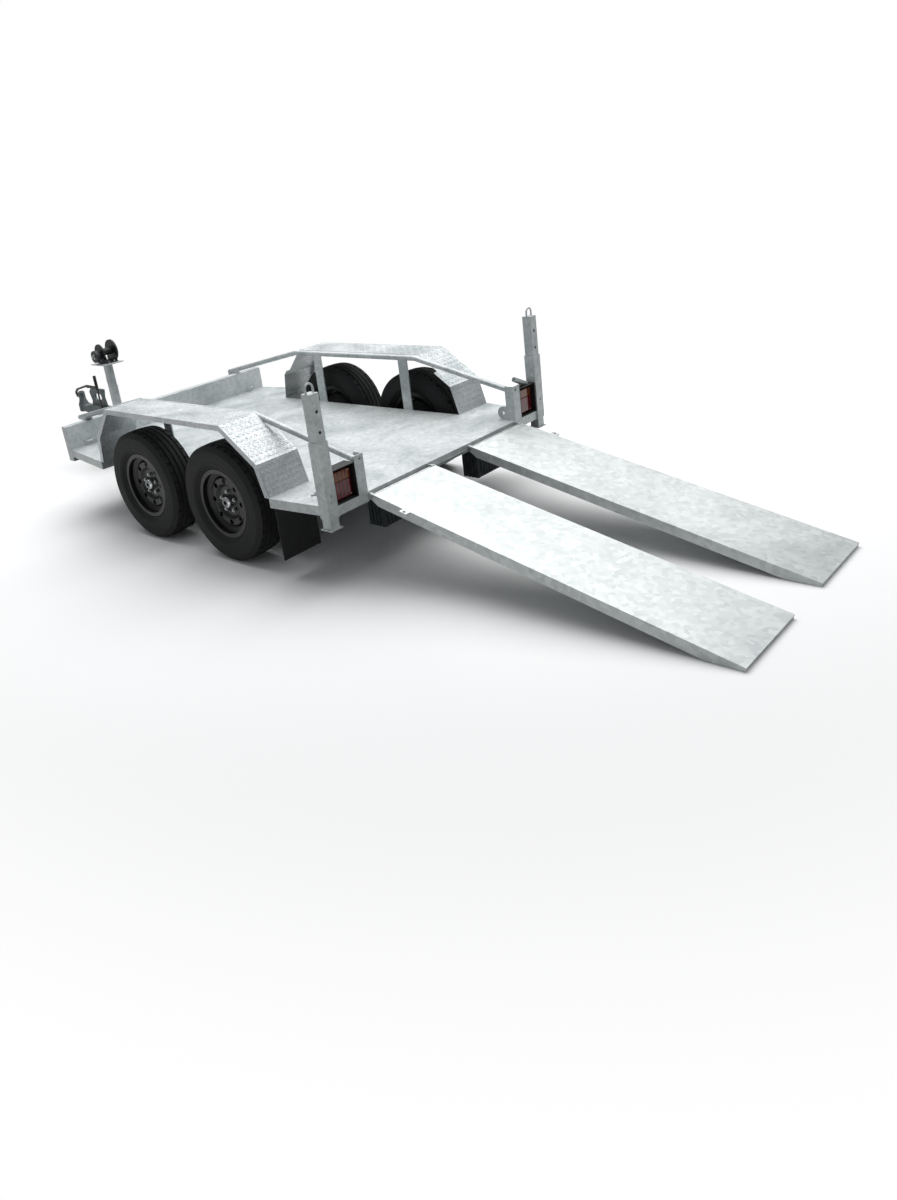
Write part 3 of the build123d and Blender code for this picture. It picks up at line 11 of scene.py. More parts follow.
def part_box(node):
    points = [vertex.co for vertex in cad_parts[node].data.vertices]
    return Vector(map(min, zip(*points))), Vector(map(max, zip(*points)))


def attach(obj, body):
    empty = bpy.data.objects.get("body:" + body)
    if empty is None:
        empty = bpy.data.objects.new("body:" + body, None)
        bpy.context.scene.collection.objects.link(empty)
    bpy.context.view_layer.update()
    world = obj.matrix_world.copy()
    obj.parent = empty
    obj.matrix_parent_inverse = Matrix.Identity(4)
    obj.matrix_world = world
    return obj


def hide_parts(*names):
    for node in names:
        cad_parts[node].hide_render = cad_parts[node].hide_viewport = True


bl_info = {
    "name": "Scissor Lift Trailer Dressing",
    "version": (1, 0, 0),
    "blender": (4, 5, 0),
    "location": "3D View > Sidebar > Trailer",
    "description": "Gives the packed trailer its finishes, tyre treads and small hardware",
    "category": "Object",
}

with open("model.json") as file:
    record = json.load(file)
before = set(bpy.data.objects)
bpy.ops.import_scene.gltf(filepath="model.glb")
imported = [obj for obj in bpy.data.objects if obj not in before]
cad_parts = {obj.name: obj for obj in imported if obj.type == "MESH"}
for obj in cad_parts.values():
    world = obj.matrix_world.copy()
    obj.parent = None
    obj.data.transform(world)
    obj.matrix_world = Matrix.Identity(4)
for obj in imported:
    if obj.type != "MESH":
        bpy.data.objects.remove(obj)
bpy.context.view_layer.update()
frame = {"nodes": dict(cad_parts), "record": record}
NODES = frame["nodes"]
ENDS = ("front", "rear")
SIDES = {"left": 1, "right": -1}

# Sizes shared with the solids, in metres
DECK_HALF_WIDTH = 0.630
AXLE_CENTRE_Z = 0.258
AXLE_BEAM = 0.050
SPRING_STACK = 0.028
SPRING_WIDTH = 0.060
SPRING_HALF_SPAN = 0.330
RAMP_INNER_Y = 0.156
WINCH_AXIS_RISE = 0.084
SLEEVE_SIDE = 0.065
SLEEVE_INNER_Y = 0.8365
POST_FACE = 0.062
LAMP_BOX_DEPTH = 0.070
TUBE_RADIUS = 0.015
TUBE_FOOT_Y = 0.802
TUBE_END_Y = 0.687
TUBE_END_Z = 0.668
POST_OUTER_Y = 0.684
SUPPORT_STATIONS = (-0.21587, 0.58413)
SUPPORT_HALF_WIDTH = 0.0375
STUD_COUNT = 5
STUD_CIRCLE_RADIUS = 0.05715
HUB_CAP_LENGTH = 0.038
EYE_RADIUS = 0.017
COUPLING_HALF_WIDTH = 0.032

# Sizes of what is only drawn here, in metres
TYRE_STEPS = 108
SIPE_INSET = 0.0042
SIPE_DEPTH = 0.005
BAR_LIFT = 0.0014
CLAMP_ROD = 0.006
CLAMP_PLATE = 0.006
CLAMP_SPACING = 0.032
PIN_SINK = 0.0055
SCREW_RADIUS = 0.0036
FLAP_BOLTS_FROM_Y = 0.650
FLAP_BOLT_SHARES = (0.14, 0.5, 0.82)
WASHER_RADIUS = 0.0125
WINCH_BOLT_X = 0.055
WINCH_BOLT_YS = (-0.034, 0.014)
COUPLING_BOLT_XS = (0.026, 0.076, 0.150)
NOSE_RUN = 0.090


def srgb(code):
    """Linear RGBA from an sRGB hex value such as C8CCCC."""
    channels = [int(code[i:i + 2], 16) / 255 for i in (0, 2, 4)]
    linear = [c / 12.92 if c <= 0.04045 else ((c + 0.055) / 1.055) ** 2.4 for c in channels]
    return (*linear, 1.0)


def middle(node):
    """Centre of a CAD node's box."""
    low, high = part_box(node)
    return (Vector(low) + Vector(high)) / 2


# Finishes

def add(tree, kind, links=None, **settings):
    """Adds a node, sets its properties and sockets, and links its inputs."""
    node = tree.nodes.new(kind)
    for name, value in settings.items():
        if hasattr(node, name):
            setattr(node, name, value)
        else:
            node.inputs[name.replace("_", " ")].default_value = value
    for name, source in (links or {}).items():
        tree.links.new(source, node.inputs[name])
    return node


def sums(tree, operation, first, second):
    """A math node on two values, each a socket or a number; gives its result."""
    node = add(tree, "ShaderNodeMath", operation=operation)
    for place, value in zip(node.inputs, (first, second)):
        if isinstance(value, (int, float)):
            place.default_value = value
        else:
            tree.links.new(value, place)
    return node.outputs[0]


def new_finish(name, colour, metallic, roughness):
    """An empty material with its shader, ready for its pattern."""
    finish = bpy.data.materials.new(name)
    finish.use_nodes = True
    tree = finish.node_tree
    tree.nodes.clear()
    shader = add(tree, "ShaderNodeBsdfPrincipled")
    shader.inputs["Base Color"].default_value = srgb(colour)
    shader.inputs["Metallic"].default_value = metallic
    shader.inputs["Roughness"].default_value = roughness
    add(tree, "ShaderNodeOutputMaterial", {"Surface": shader.outputs["BSDF"]})
    place = add(tree, "ShaderNodeTexCoord").outputs["Object"]
    return finish, tree, shader, place


def ramp(tree, source, stops):
    """A colour ramp through (position, hex) stops."""
    node = add(tree, "ShaderNodeValToRGB", {"Fac": source})
    elements = node.color_ramp.elements
    while len(elements) < len(stops):
        elements.new(0.5)
    for element, (position, code) in zip(elements, stops):
        element.position = position
        element.color = srgb(code)
    return node.outputs["Color"]


def galvanised(name, pale, mid, dark, cloud_mm, spangle_mm, roughness, bump=0.15):
    """Hot-dip galvanised steel: zinc spangle crystals under large pale and bluish clouds."""
    finish, tree, shader, place = new_finish(name, mid, 0.45, roughness)
    cloud = add(tree, "ShaderNodeTexNoise", {"Vector": place}, Scale=1000 / cloud_mm, Detail=5.0,
                Roughness=0.62, Distortion=0.7)
    base = ramp(tree, cloud.outputs["Fac"], ((0.30, dark), (0.47, mid), (0.64, pale)))
    crystal = add(tree, "ShaderNodeTexVoronoi", {"Vector": place}, Scale=1000 / spangle_mm)
    tint = ramp(tree, crystal.outputs["Color"], ((0.0, "D9DCDD"), (1.0, "FFFFFF")))
    mix = add(tree, "ShaderNodeMix", data_type="RGBA", blend_type="MULTIPLY")
    mix.inputs["Factor"].default_value = 0.8
    tree.links.new(base, mix.inputs[6])
    tree.links.new(tint, mix.inputs[7])
    tree.links.new(mix.outputs[2], shader.inputs["Base Color"])
    grain = add(tree, "ShaderNodeTexNoise", {"Vector": place}, Scale=1000 / 6.0, Detail=3.0)
    rough = add(tree, "ShaderNodeMapRange", {"Value": cloud.outputs["Fac"]})
    rough.inputs["To Min"].default_value = roughness - 0.10
    rough.inputs["To Max"].default_value = roughness + 0.14
    tree.links.new(rough.outputs["Result"], shader.inputs["Roughness"])
    lumps = add(tree, "ShaderNodeBump", {"Height": grain.outputs["Fac"]}, Strength=bump,
                Distance=0.0006)
    tree.links.new(lumps.outputs["Normal"], shader.inputs["Normal"])
    return finish


def tread_plate(name):
    """Galvanised tread plate: raised lens-shaped bars laid both ways, 30 mm apart."""
    finish = galvanised(name, "E2E5E6", "CDD2D3", "B0B8BA", 300, 14, 0.42)
    tree = finish.node_tree
    shader = next(n for n in tree.nodes if n.type == "BSDF_PRINCIPLED")
    place = add(tree, "ShaderNodeTexCoord").outputs["Object"]
    facing = add(tree, "ShaderNodeSeparateXYZ",
                 {"Vector": add(tree, "ShaderNodeNewGeometry").outputs["Normal"]})
    spot = add(tree, "ShaderNodeSeparateXYZ", {"Vector": place})
    lean = add(tree, "ShaderNodeMath", {0: facing.outputs["X"]}, operation="ABSOLUTE")
    steep = sums(tree, "GREATER_THAN", lean.outputs[0], 0.75)
    along = add(tree, "ShaderNodeMix", {"Factor": steep}, data_type="FLOAT")
    tree.links.new(spot.outputs["X"], along.inputs[2])
    tree.links.new(spot.outputs["Z"], along.inputs[3])
    flat = add(tree, "ShaderNodeCombineXYZ", {"X": along.outputs[0], "Y": spot.outputs["Y"]})
    heights = []
    for turn, shift in ((45, 0.0), (-45, 0.5)):
        turned = add(tree, "ShaderNodeMapping", {"Vector": flat.outputs["Vector"]})
        turned.inputs["Rotation"].default_value = (0, 0, math.radians(turn))
        turned.inputs["Scale"].default_value = (1000 / 42.0, 1000 / 21.0, 1)
        turned.inputs["Location"].default_value = (shift, shift, 0)
        cell = add(tree, "ShaderNodeVectorMath", {0: turned.outputs["Vector"]},
                   operation="FRACTION")
        parts = add(tree, "ShaderNodeSeparateXYZ", {"Vector": cell.outputs[0]})
        u = sums(tree, "MULTIPLY", sums(tree, "SUBTRACT", parts.outputs["X"], 0.5), 2.9)
        v = sums(tree, "MULTIPLY", sums(tree, "SUBTRACT", parts.outputs["Y"], 0.5), 6.0)
        reach = sums(tree, "ADD", sums(tree, "MULTIPLY", u, u), sums(tree, "MULTIPLY", v, v))
        bar = add(tree, "ShaderNodeMapRange", {"Value": reach}, interpolation_type="SMOOTHSTEP")
        bar.inputs["From Min"].default_value = 0.4
        bar.inputs["From Max"].default_value = 1.2
        bar.inputs["To Min"].default_value = 1.0
        bar.inputs["To Max"].default_value = 0.0
        heights.append(bar.outputs["Result"])
    both = sums(tree, "MAXIMUM", heights[0], heights[1])
    old = shader.inputs["Normal"].links[0].from_socket
    bars = add(tree, "ShaderNodeBump", {"Height": both, "Normal": old}, Strength=0.9,
               Distance=0.0018)
    tree.links.new(bars.outputs["Normal"], shader.inputs["Normal"])
    return finish


def painted(name, colour, worn, roughness, wear_mm, grain_mm=2.0, metallic=0.0):
    """Paint or powder coat: one colour with slightly faded patches and a fine orange-peel grain."""
    finish, tree, shader, place = new_finish(name, colour, metallic, roughness)
    cloud = add(tree, "ShaderNodeTexNoise", {"Vector": place}, Scale=1000 / wear_mm, Detail=6.0,
                Roughness=0.65)
    base = ramp(tree, cloud.outputs["Fac"], ((0.42, colour), (0.72, worn)))
    tree.links.new(base, shader.inputs["Base Color"])
    rough = add(tree, "ShaderNodeMapRange", {"Value": cloud.outputs["Fac"]})
    rough.inputs["To Min"].default_value = roughness - 0.08
    rough.inputs["To Max"].default_value = roughness + 0.12
    tree.links.new(rough.outputs["Result"], shader.inputs["Roughness"])
    grain = add(tree, "ShaderNodeTexNoise", {"Vector": place}, Scale=1000 / grain_mm, Detail=2.0)
    peel = add(tree, "ShaderNodeBump", {"Height": grain.outputs["Fac"]}, Strength=0.18,
               Distance=0.0003)
    tree.links.new(peel.outputs["Normal"], shader.inputs["Normal"])
    return finish


def moulded_lens(name, colour, prism_shade):
    """Moulded acrylic lamp lens: clear gloss over fine vertical prisms, with painted shade in the
    grooves between them.
    """
    finish, tree, shader, place = new_finish(name, colour, 0.0, 0.12)
    wave = add(tree, "ShaderNodeTexWave", {"Vector": place}, bands_direction="Y",
               wave_profile="SIN")
    wave.inputs["Scale"].default_value = 1000 / (4.0 * 20)
    # Painted shade: the lens colour darkens to the deep tone in the troughs between the prisms
    base = ramp(tree, wave.outputs["Fac"], ((0.0, prism_shade), (1.0, colour)))
    tree.links.new(base, shader.inputs["Base Color"])
    prisms = add(tree, "ShaderNodeBump", {"Height": wave.outputs["Fac"]}, Strength=0.35,
                 Distance=0.0006)
    tree.links.new(prisms.outputs["Normal"], shader.inputs["Normal"])
    shader.inputs["Coat Weight"].default_value = 0.5
    shader.inputs["Coat Roughness"].default_value = 0.05
    return finish


def make_finishes():
    """Every finish on the trailer, by the record's slot."""
    return {
        # Zinc crystals about 18 mm across, with white bloom in clouds: dull, pale and mottled
        "galvanised_steel": galvanised("Hot_dip_galvanised_steel", "DCE0E0", "CBD0D0", "B2B9BA",
                                       340, 18, 0.50),
        "tread_plate": tread_plate("Galvanised_tread_plate"),
        # New galvanising on sheet: smoother and paler, with only faint clouds
        "ramp_galvanising": galvanised("Smooth_galvanised_sheet", "E6EAE9", "DCE0DF", "CDD2D2",
                                       520, 26, 0.42, bump=0.08),
        # Zinc on a rough casting, without crystals to see; its darker tones are painted shade, the
        # galvanising as it looks on shaded faces
        "coupling_galvanising": galvanised("Galvanised_casting_painted_shade", "7F8889", "687072", "50585A",
                                           60, 5, 0.55, bump=0.5),
        # Carbon black rubber, cured in a mould: matt, greyer where it scuffs
        "tyre_rubber": painted("Moulded_tyre_rubber", "111213", "1B1D1E", 0.74, 120, 1.6),
        "black_wheel_paint": painted("Black_enamelled_wheel", "0A0B0C", "141516", 0.40, 120),
        "hub_iron": painted("Machined_cast_iron", "6D7072", "8A8D8F", 0.40, 40, 1.2, metallic=0.9),
        # Black of the real lamp bases; on the lamp boxes the same black is painted shade, standing
        # for the dark inside of galvanised boxes
        "black_lamp_housing": painted("Black_lamp_bases_and_box_shade", "131415", "202223", 0.55, 60),
        "red_lens": moulded_lens("Moulded_red_lens", "8E1C2A", "500E18"),
        "amber_lens": moulded_lens("Moulded_amber_lens", "A8561C", "6E3010"),
        "flap_rubber": painted("Sheet_rubber_flap", "1B1C1D", "2C2E2F", 0.72, 110, 3.0),
        "block_rubber": painted("Weathered_block_rubber", "3E4446", "565D5F", 0.85, 50, 3.0),
        "axle_paint": painted("Black_axle_enamel", "17181A", "26282A", 0.45, 150),
        "spring_steel": painted("Oiled_spring_steel", "25282A", "3A3B3A", 0.42, 70, metallic=0.5),
        "winch_paint": painted("Black_powder_coat", "141617", "232627", 0.50, 60),
        "handle_paint": painted("Dark_enamelled_handle", "1D1718", "33211F", 0.50, 40),
        "jockey_rubber": painted("Solid_jockey_rubber", "1C1D1E", "2B2D2E", 0.75, 60),
        "bright_steel": painted("Zinc_plated_steel", "A9ACAD", "C2C4C4", 0.34, 30, metallic=0.9),
        "hub_cap_chrome": painted("Pressed_bright_cap", "C8CBCC", "DADCDC", 0.18, 60, metallic=1.0),
    }


FINISHES = {}


def dress(piece, slot, body, replaced=()):
    """Gives a new piece its finish, its body and the solids that it stands for."""
    piece.data.materials.clear()
    piece.data.materials.append(FINISHES[slot])
    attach(piece, body)
    if replaced:
        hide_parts(*replaced)
    return piece


def finished_mesh(name, bm, smooth_angle=30):
    """Turns a bmesh into an object at the origin, with outward normals and soft shading."""
    bmesh.ops.remove_doubles(bm, verts=bm.verts, dist=1e-6)
    bmesh.ops.recalc_face_normals(bm, faces=bm.faces)
    mesh = bpy.data.meshes.new(name)
    bm.to_mesh(mesh)
    bm.free()
    for polygon in mesh.polygons:
        polygon.use_smooth = True
    mesh.set_sharp_from_angle(angle=math.radians(smooth_angle))
    piece = bpy.data.objects.new(name, mesh)
    bpy.context.scene.collection.objects.link(piece)
    return piece


def stub(bm, base, axis, radius, length, sides=16, tip=None):
    """Adds a closed rod, bolt head or cone that starts at base and runs along axis."""
    axis = Vector(axis).normalized()
    place = Matrix.Translation(Vector(base) + axis * length / 2)
    place @= axis.to_track_quat("Z", "Y").to_matrix().to_4x4()
    bmesh.ops.create_cone(bm, cap_ends=True, segments=sides, radius1=radius,
                          radius2=radius if tip is None else tip, depth=length, matrix=place)


def bar_between(bm, start, end, radius, sides=10):
    """Adds a closed rod from one point to another."""
    run = Vector(end) - Vector(start)
    stub(bm, start, run, radius, run.length, sides)


def hex_bolt(bm, base, axis, size, thread=0.0):
    """Adds a washer and a hexagon head on a face, with an end of thread past it."""
    axis = Vector(axis).normalized()
    base = Vector(base)
    stub(bm, base, axis, size * 0.95, 0.002, 18)
    stub(bm, base + axis * 0.002, axis, size * 0.577, size * 0.6, 6)
    if thread:
        stub(bm, base + axis * (0.002 + size * 0.6), axis, size * 0.3, thread, 10)


def pipe(bm, start, end, outer, inner, sides=24):
    """Adds an open-ended tube from one point to another."""
    start = Vector(start)
    end = Vector(end)
    run = end - start
    place = Matrix.Translation((start + end) / 2)
    place @= run.to_track_quat("Z", "Y").to_matrix().to_4x4()
    edges = set()
    for radius in (outer, inner):
        made = bmesh.ops.create_cone(bm, cap_ends=False, segments=sides, radius1=radius,
                                     radius2=radius, depth=run.length, matrix=place)
        edges |= {e for v in made["verts"] for e in v.link_edges if e.is_boundary}
    for near, far in ((start, end), (end, start)):
        ring = [e for e in edges if (e.verts[0].co - near).length < (e.verts[0].co - far).length]
        bmesh.ops.bridge_loops(bm, edges=ring)


def turned(bm, profile, centre, axis, steps):
    """Spins a profile of (radius, offset) points a full turn about an axis through centre."""
    axis = Vector(axis).normalized()
    out = axis.orthogonal().normalized()
    verts = [bm.verts.new(Vector(centre) + out * r + axis * w) for r, w in profile]
    edges = [bm.edges.new(pair) for pair in zip(verts, verts[1:])]
    bmesh.ops.spin(bm, geom=verts + edges, cent=centre, axis=axis, angle=2 * math.pi,
                   steps=steps, use_merge=True, use_duplicate=False)


# Sizes and colours that a user would change

class TrailerDressing(bpy.types.PropertyGroup):
    groove_depth: bpy.props.FloatProperty(
        name="Groove depth", description="Depth of the tyre's tread grooves",
        default=0.008, min=0.001, max=0.012, unit="LENGTH")
    groove_width: bpy.props.FloatProperty(
        name="Groove width", description="Width of the tyre's round grooves",
        default=0.007, min=0.002, max=0.012, unit="LENGTH")
    nut_size: bpy.props.FloatProperty(
        name="Wheel nut", description="Width across the flats of a wheel nut",
        default=0.019, min=0.01, max=0.03, unit="LENGTH")
    bar_pitch: bpy.props.FloatProperty(
        name="Bar pitch", description="Spacing of the bars on the tread plate",
        default=0.030, min=0.015, max=0.06, unit="LENGTH")
    bar_length: bpy.props.FloatProperty(
        name="Bar length", description="Length of one bar on the tread plate",
        default=0.025, min=0.01, max=0.05, unit="LENGTH")
    bolt_size: bpy.props.FloatProperty(
        name="Bolt head", description="Width across the flats of the small bolts",
        default=0.017, min=0.008, max=0.03, unit="LENGTH")
    floor_grey: bpy.props.FloatProperty(
        name="Floor bounce", description="Grey of the floor where it lights the trailer from below",
        default=0.14, min=0.0, max=1.0, subtype="FACTOR")
    key_power: bpy.props.FloatProperty(
        name="Overhead light", description="Power of the large light above the trailer",
        default=560.0, min=0.0, max=10000.0, unit="POWER")
    sky_level: bpy.props.FloatProperty(
        name="Sky level", description="Brightness of the even light from all round",
        default=0.30, min=0.0, max=2.0)


class TRAILER_OT_finishes(bpy.types.Operator):
    """Give every carried-over piece its own finish"""
    bl_idname = "trailer.finishes"
    bl_label = "Finishes"

    def execute(self, context):
        FINISHES.update(make_finishes())
        for part in frame["record"]["subparts"]:
            node = NODES[part["node"]]
            finish = FINISHES[part["material_slot"]]
            if not node.material_slots:
                node.data.materials.append(finish)
            for place in node.material_slots:
                place.link = "OBJECT"
                place.material = finish
        return {"FINISHED"}


class TRAILER_OT_tyres(bpy.types.Operator):
    """Mould the four tyres with ribbed treads and stepped sidewalls"""
    bl_idname = "trailer.tyres"
    bl_label = "Tyres"

    def execute(self, context):
        settings = context.scene.trailer_dressing
        for end in ENDS:
            for side, sign in SIDES.items():
                node = f"tyre_{end}_{side}"
                low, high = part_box(node)
                centre = middle(node)
                radius = (high[2] - low[2]) / 2
                half = (high[1] - low[1]) / 2
                self.make(node + "_moulded", centre, radius, half, sign, settings, end, side)
        return {"FINISHED"}

    def make(self, name, centre, radius, half, sign, settings, end, side):
        bm = bmesh.new()
        depth = settings.groove_depth
        groove = settings.groove_width
        tread = half * 0.79
        seat = 0.1785
        bead = 0.0718
        lip = 0.199
        sidewall = (
            (seat, bead), (lip - 0.004, bead), (lip, bead + 0.004), (lip + 0.006, bead + 0.010),
            (lip + 0.012, bead + 0.010), (lip + 0.018, half * 0.90), (lip + 0.030, half * 0.965),
            (lip + 0.034, half * 0.985), (lip + 0.040, half * 0.985), (lip + 0.044, half * 0.975),
            (lip + 0.060, half), (lip + 0.078, half), (lip + 0.092, half * 0.975),
            (lip + 0.095, half * 0.985), (lip + 0.101, half * 0.975), (radius - 0.022, half * 0.90),
            (radius - 0.012, tread + 0.005), (radius - 0.005, tread),
        )
        ribs = []
        grooves = (0.62, 0.22, -0.22, -0.62)
        for share in grooves:
            mid = tread * share
            crown = radius - 0.005 * share * share
            ribs += [
                (crown, mid + groove / 2 + 0.0008), (crown - depth, mid + groove / 2 - 0.001),
                (crown - depth, mid - groove / 2 + 0.001), (crown, mid - groove / 2 - 0.0008),
            ]
            if share == 0.22:
                ribs.append((radius, 0.0))
        mirror_side = [(r, -w) for r, w in reversed(sidewall)]
        turned(bm, list(sidewall) + ribs + mirror_side, centre, (0, 1, 0), TYRE_STEPS)
        # Sipes across the shoulder ribs: one strip in three is pressed in
        bmesh.ops.remove_doubles(bm, verts=bm.verts, dist=1e-6)
        bmesh.ops.recalc_face_normals(bm, faces=bm.faces)
        shoulder = []
        for face in bm.faces:
            spot = face.calc_center_median() - centre
            reach = math.hypot(spot.x, spot.z)
            inside = tread * 0.66 < abs(spot.y) < tread * 1.02
            if inside and reach > radius - 0.009 and face.calc_area() > 1e-5:
                turn = math.atan2(spot.z, spot.x) % (2 * math.pi)
                if round(turn / (2 * math.pi) * TYRE_STEPS - 0.5) % 3 == 0:
                    shoulder.append(face)
        bmesh.ops.inset_individual(bm, faces=shoulder, thickness=SIPE_INSET, depth=0.0)
        for face in shoulder:
            push = face.calc_center_median() - centre
            push.y = 0
            bmesh.ops.translate(bm, verts=face.verts, vec=-push.normalized() * SIPE_DEPTH)
        piece = finished_mesh(name, bm, 34)
        dress(piece, "tyre_rubber", f"wheel_{end}_{side}", (f"tyre_{end}_{side}",))


class TRAILER_OT_wheel_fittings(bpy.types.Operator):
    """Add wheel nuts and bright hub caps"""
    bl_idname = "trailer.wheel_fittings"
    bl_label = "Wheel fittings"

    def execute(self, context):
        settings = context.scene.trailer_dressing
        for end in ENDS:
            for side, sign in SIDES.items():
                self.make(end, side, sign, settings)
        return {"FINISHED"}

    def make(self, end, side, sign, settings):
        centre = middle(f"rim_{end}_{side}")
        low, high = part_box(f"hub_{end}_{side}")
        tip = high[1] if sign > 0 else low[1]
        face = tip - sign * HUB_CAP_LENGTH
        nuts = bmesh.new()
        for i in range(STUD_COUNT):
            turn = Matrix.Rotation(2 * math.pi * i / STUD_COUNT, 4, "Y")
            spot = turn @ Vector((0, 0, STUD_CIRCLE_RADIUS)) + Vector((centre.x, 0, centre.z))
            for sides, radius, start, length in ((6, settings.nut_size / 2 * 1.155, 0.0, 0.016),
                                                 (12, 0.0055, 0.016, 0.006)):
                y = face + sign * (start + length / 2)
                place = Matrix.Translation((spot.x, y, spot.z)) @ Matrix.Rotation(
                    math.radians(90), 4, "X")
                bmesh.ops.create_cone(nuts, cap_ends=True, segments=sides, radius1=radius,
                                      radius2=radius, depth=length, matrix=place)
        dress(finished_mesh(f"wheel_nuts_{end}_{side}", nuts), "bright_steel",
              f"wheel_{end}_{side}")
        cap = bmesh.new()
        rim = (0.0348, -sign * HUB_CAP_LENGTH)
        dome = [(r, -sign * w) for r, w in ((0.0352, 0.020), (0.0335, 0.008), (0.027, 0.001),
                                            (0.012, 0.0), (0.0, 0.0))]
        turned(cap, [rim] + dome, Vector((centre.x, tip, centre.z)), (0, 1, 0), 40)
        dress(finished_mesh(f"hub_cap_{end}_{side}", cap, 60), "hub_cap_chrome",
              f"wheel_{end}_{side}")


class TRAILER_OT_tread_bars(bpy.types.Operator):
    """Raise the crossed bars of the tread plate on both guards"""
    bl_idname = "trailer.tread_bars"
    bl_label = "Tread plate bars"

    def execute(self, context):
        settings = context.scene.trailer_dressing
        skin = bmesh.new()
        skin.from_mesh(NODES["mudguards"].data)
        bmesh.ops.remove_doubles(skin, verts=skin.verts, dist=1e-6)
        tree = BVHTree.FromBMesh(skin)
        for name, sign in SIDES.items():
            bm = bmesh.new()
            for panel in self.panels(skin, sign):
                self.fill(bm, tree, panel, settings.bar_pitch, settings.bar_length)
            dress(finished_mesh(f"guard_tread_bars_{name}", bm), "tread_plate", "trailer")
        skin.free()
        return {"FINISHED"}

    def panels(self, skin, sign):
        """Flat outer panels of one guard, each as its normal and its corners."""
        low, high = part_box("mudguards")
        inside = Vector(((low[0] + high[0]) / 2, 0, low[2]))
        groups = {}
        for face in skin.faces:
            spot = face.calc_center_median()
            normal = face.normal
            outward = normal.dot(Vector((spot.x - inside.x, 0, spot.z - inside.z))) > 0
            if spot.y * sign > 0 and abs(normal.y) < 0.1 and outward:
                key = (round(normal.x, 2), round(normal.z, 2), round(spot.dot(normal), 3))
                groups.setdefault(key, []).append(face)
        for faces in groups.values():
            if sum(face.calc_area() for face in faces) > 0.02:
                yield faces[0].normal.copy(), [v.co.copy() for face in faces for v in face.verts]

    def fill(self, bm, tree, panel, pitch, length):
        """Lays bars on a panel in a chequer of both diagonals, wherever they fit on it."""
        normal, corners = panel
        across = Vector((0, 1, 0))
        up = normal.cross(across).normalized()
        level = corners[0].dot(normal)
        us = [c.dot(across) for c in corners]
        vs = [c.dot(up) for c in corners]
        for i in range(int((max(us) - min(us)) / pitch)):
            for j in range(int((max(vs) - min(vs)) / pitch)):
                u = min(us) + (i + 0.6) * pitch
                v = min(vs) + (j + 0.6) * pitch
                centre = normal * level + across * u + up * v
                along = (across + up * (1 if (i + j) % 2 else -1)).normalized()
                ends = [centre + along * length * s for s in (-0.6, 0.6)]
                clear = [tree.ray_cast(end + normal * 0.004, -normal, 0.006)[0] for end in ends]
                if None in clear:
                    continue
                turn = Matrix((along, normal.cross(along), normal)).transposed().to_4x4()
                size = Matrix.Diagonal((length / 2, length / 7, BAR_LIFT, 1))
                place = Matrix.Translation(centre + normal * BAR_LIFT * 0.45) @ turn @ size
                bmesh.ops.create_cone(bm, cap_ends=True, segments=8, radius1=1.0, radius2=0.5,
                                      depth=1.0, matrix=place)


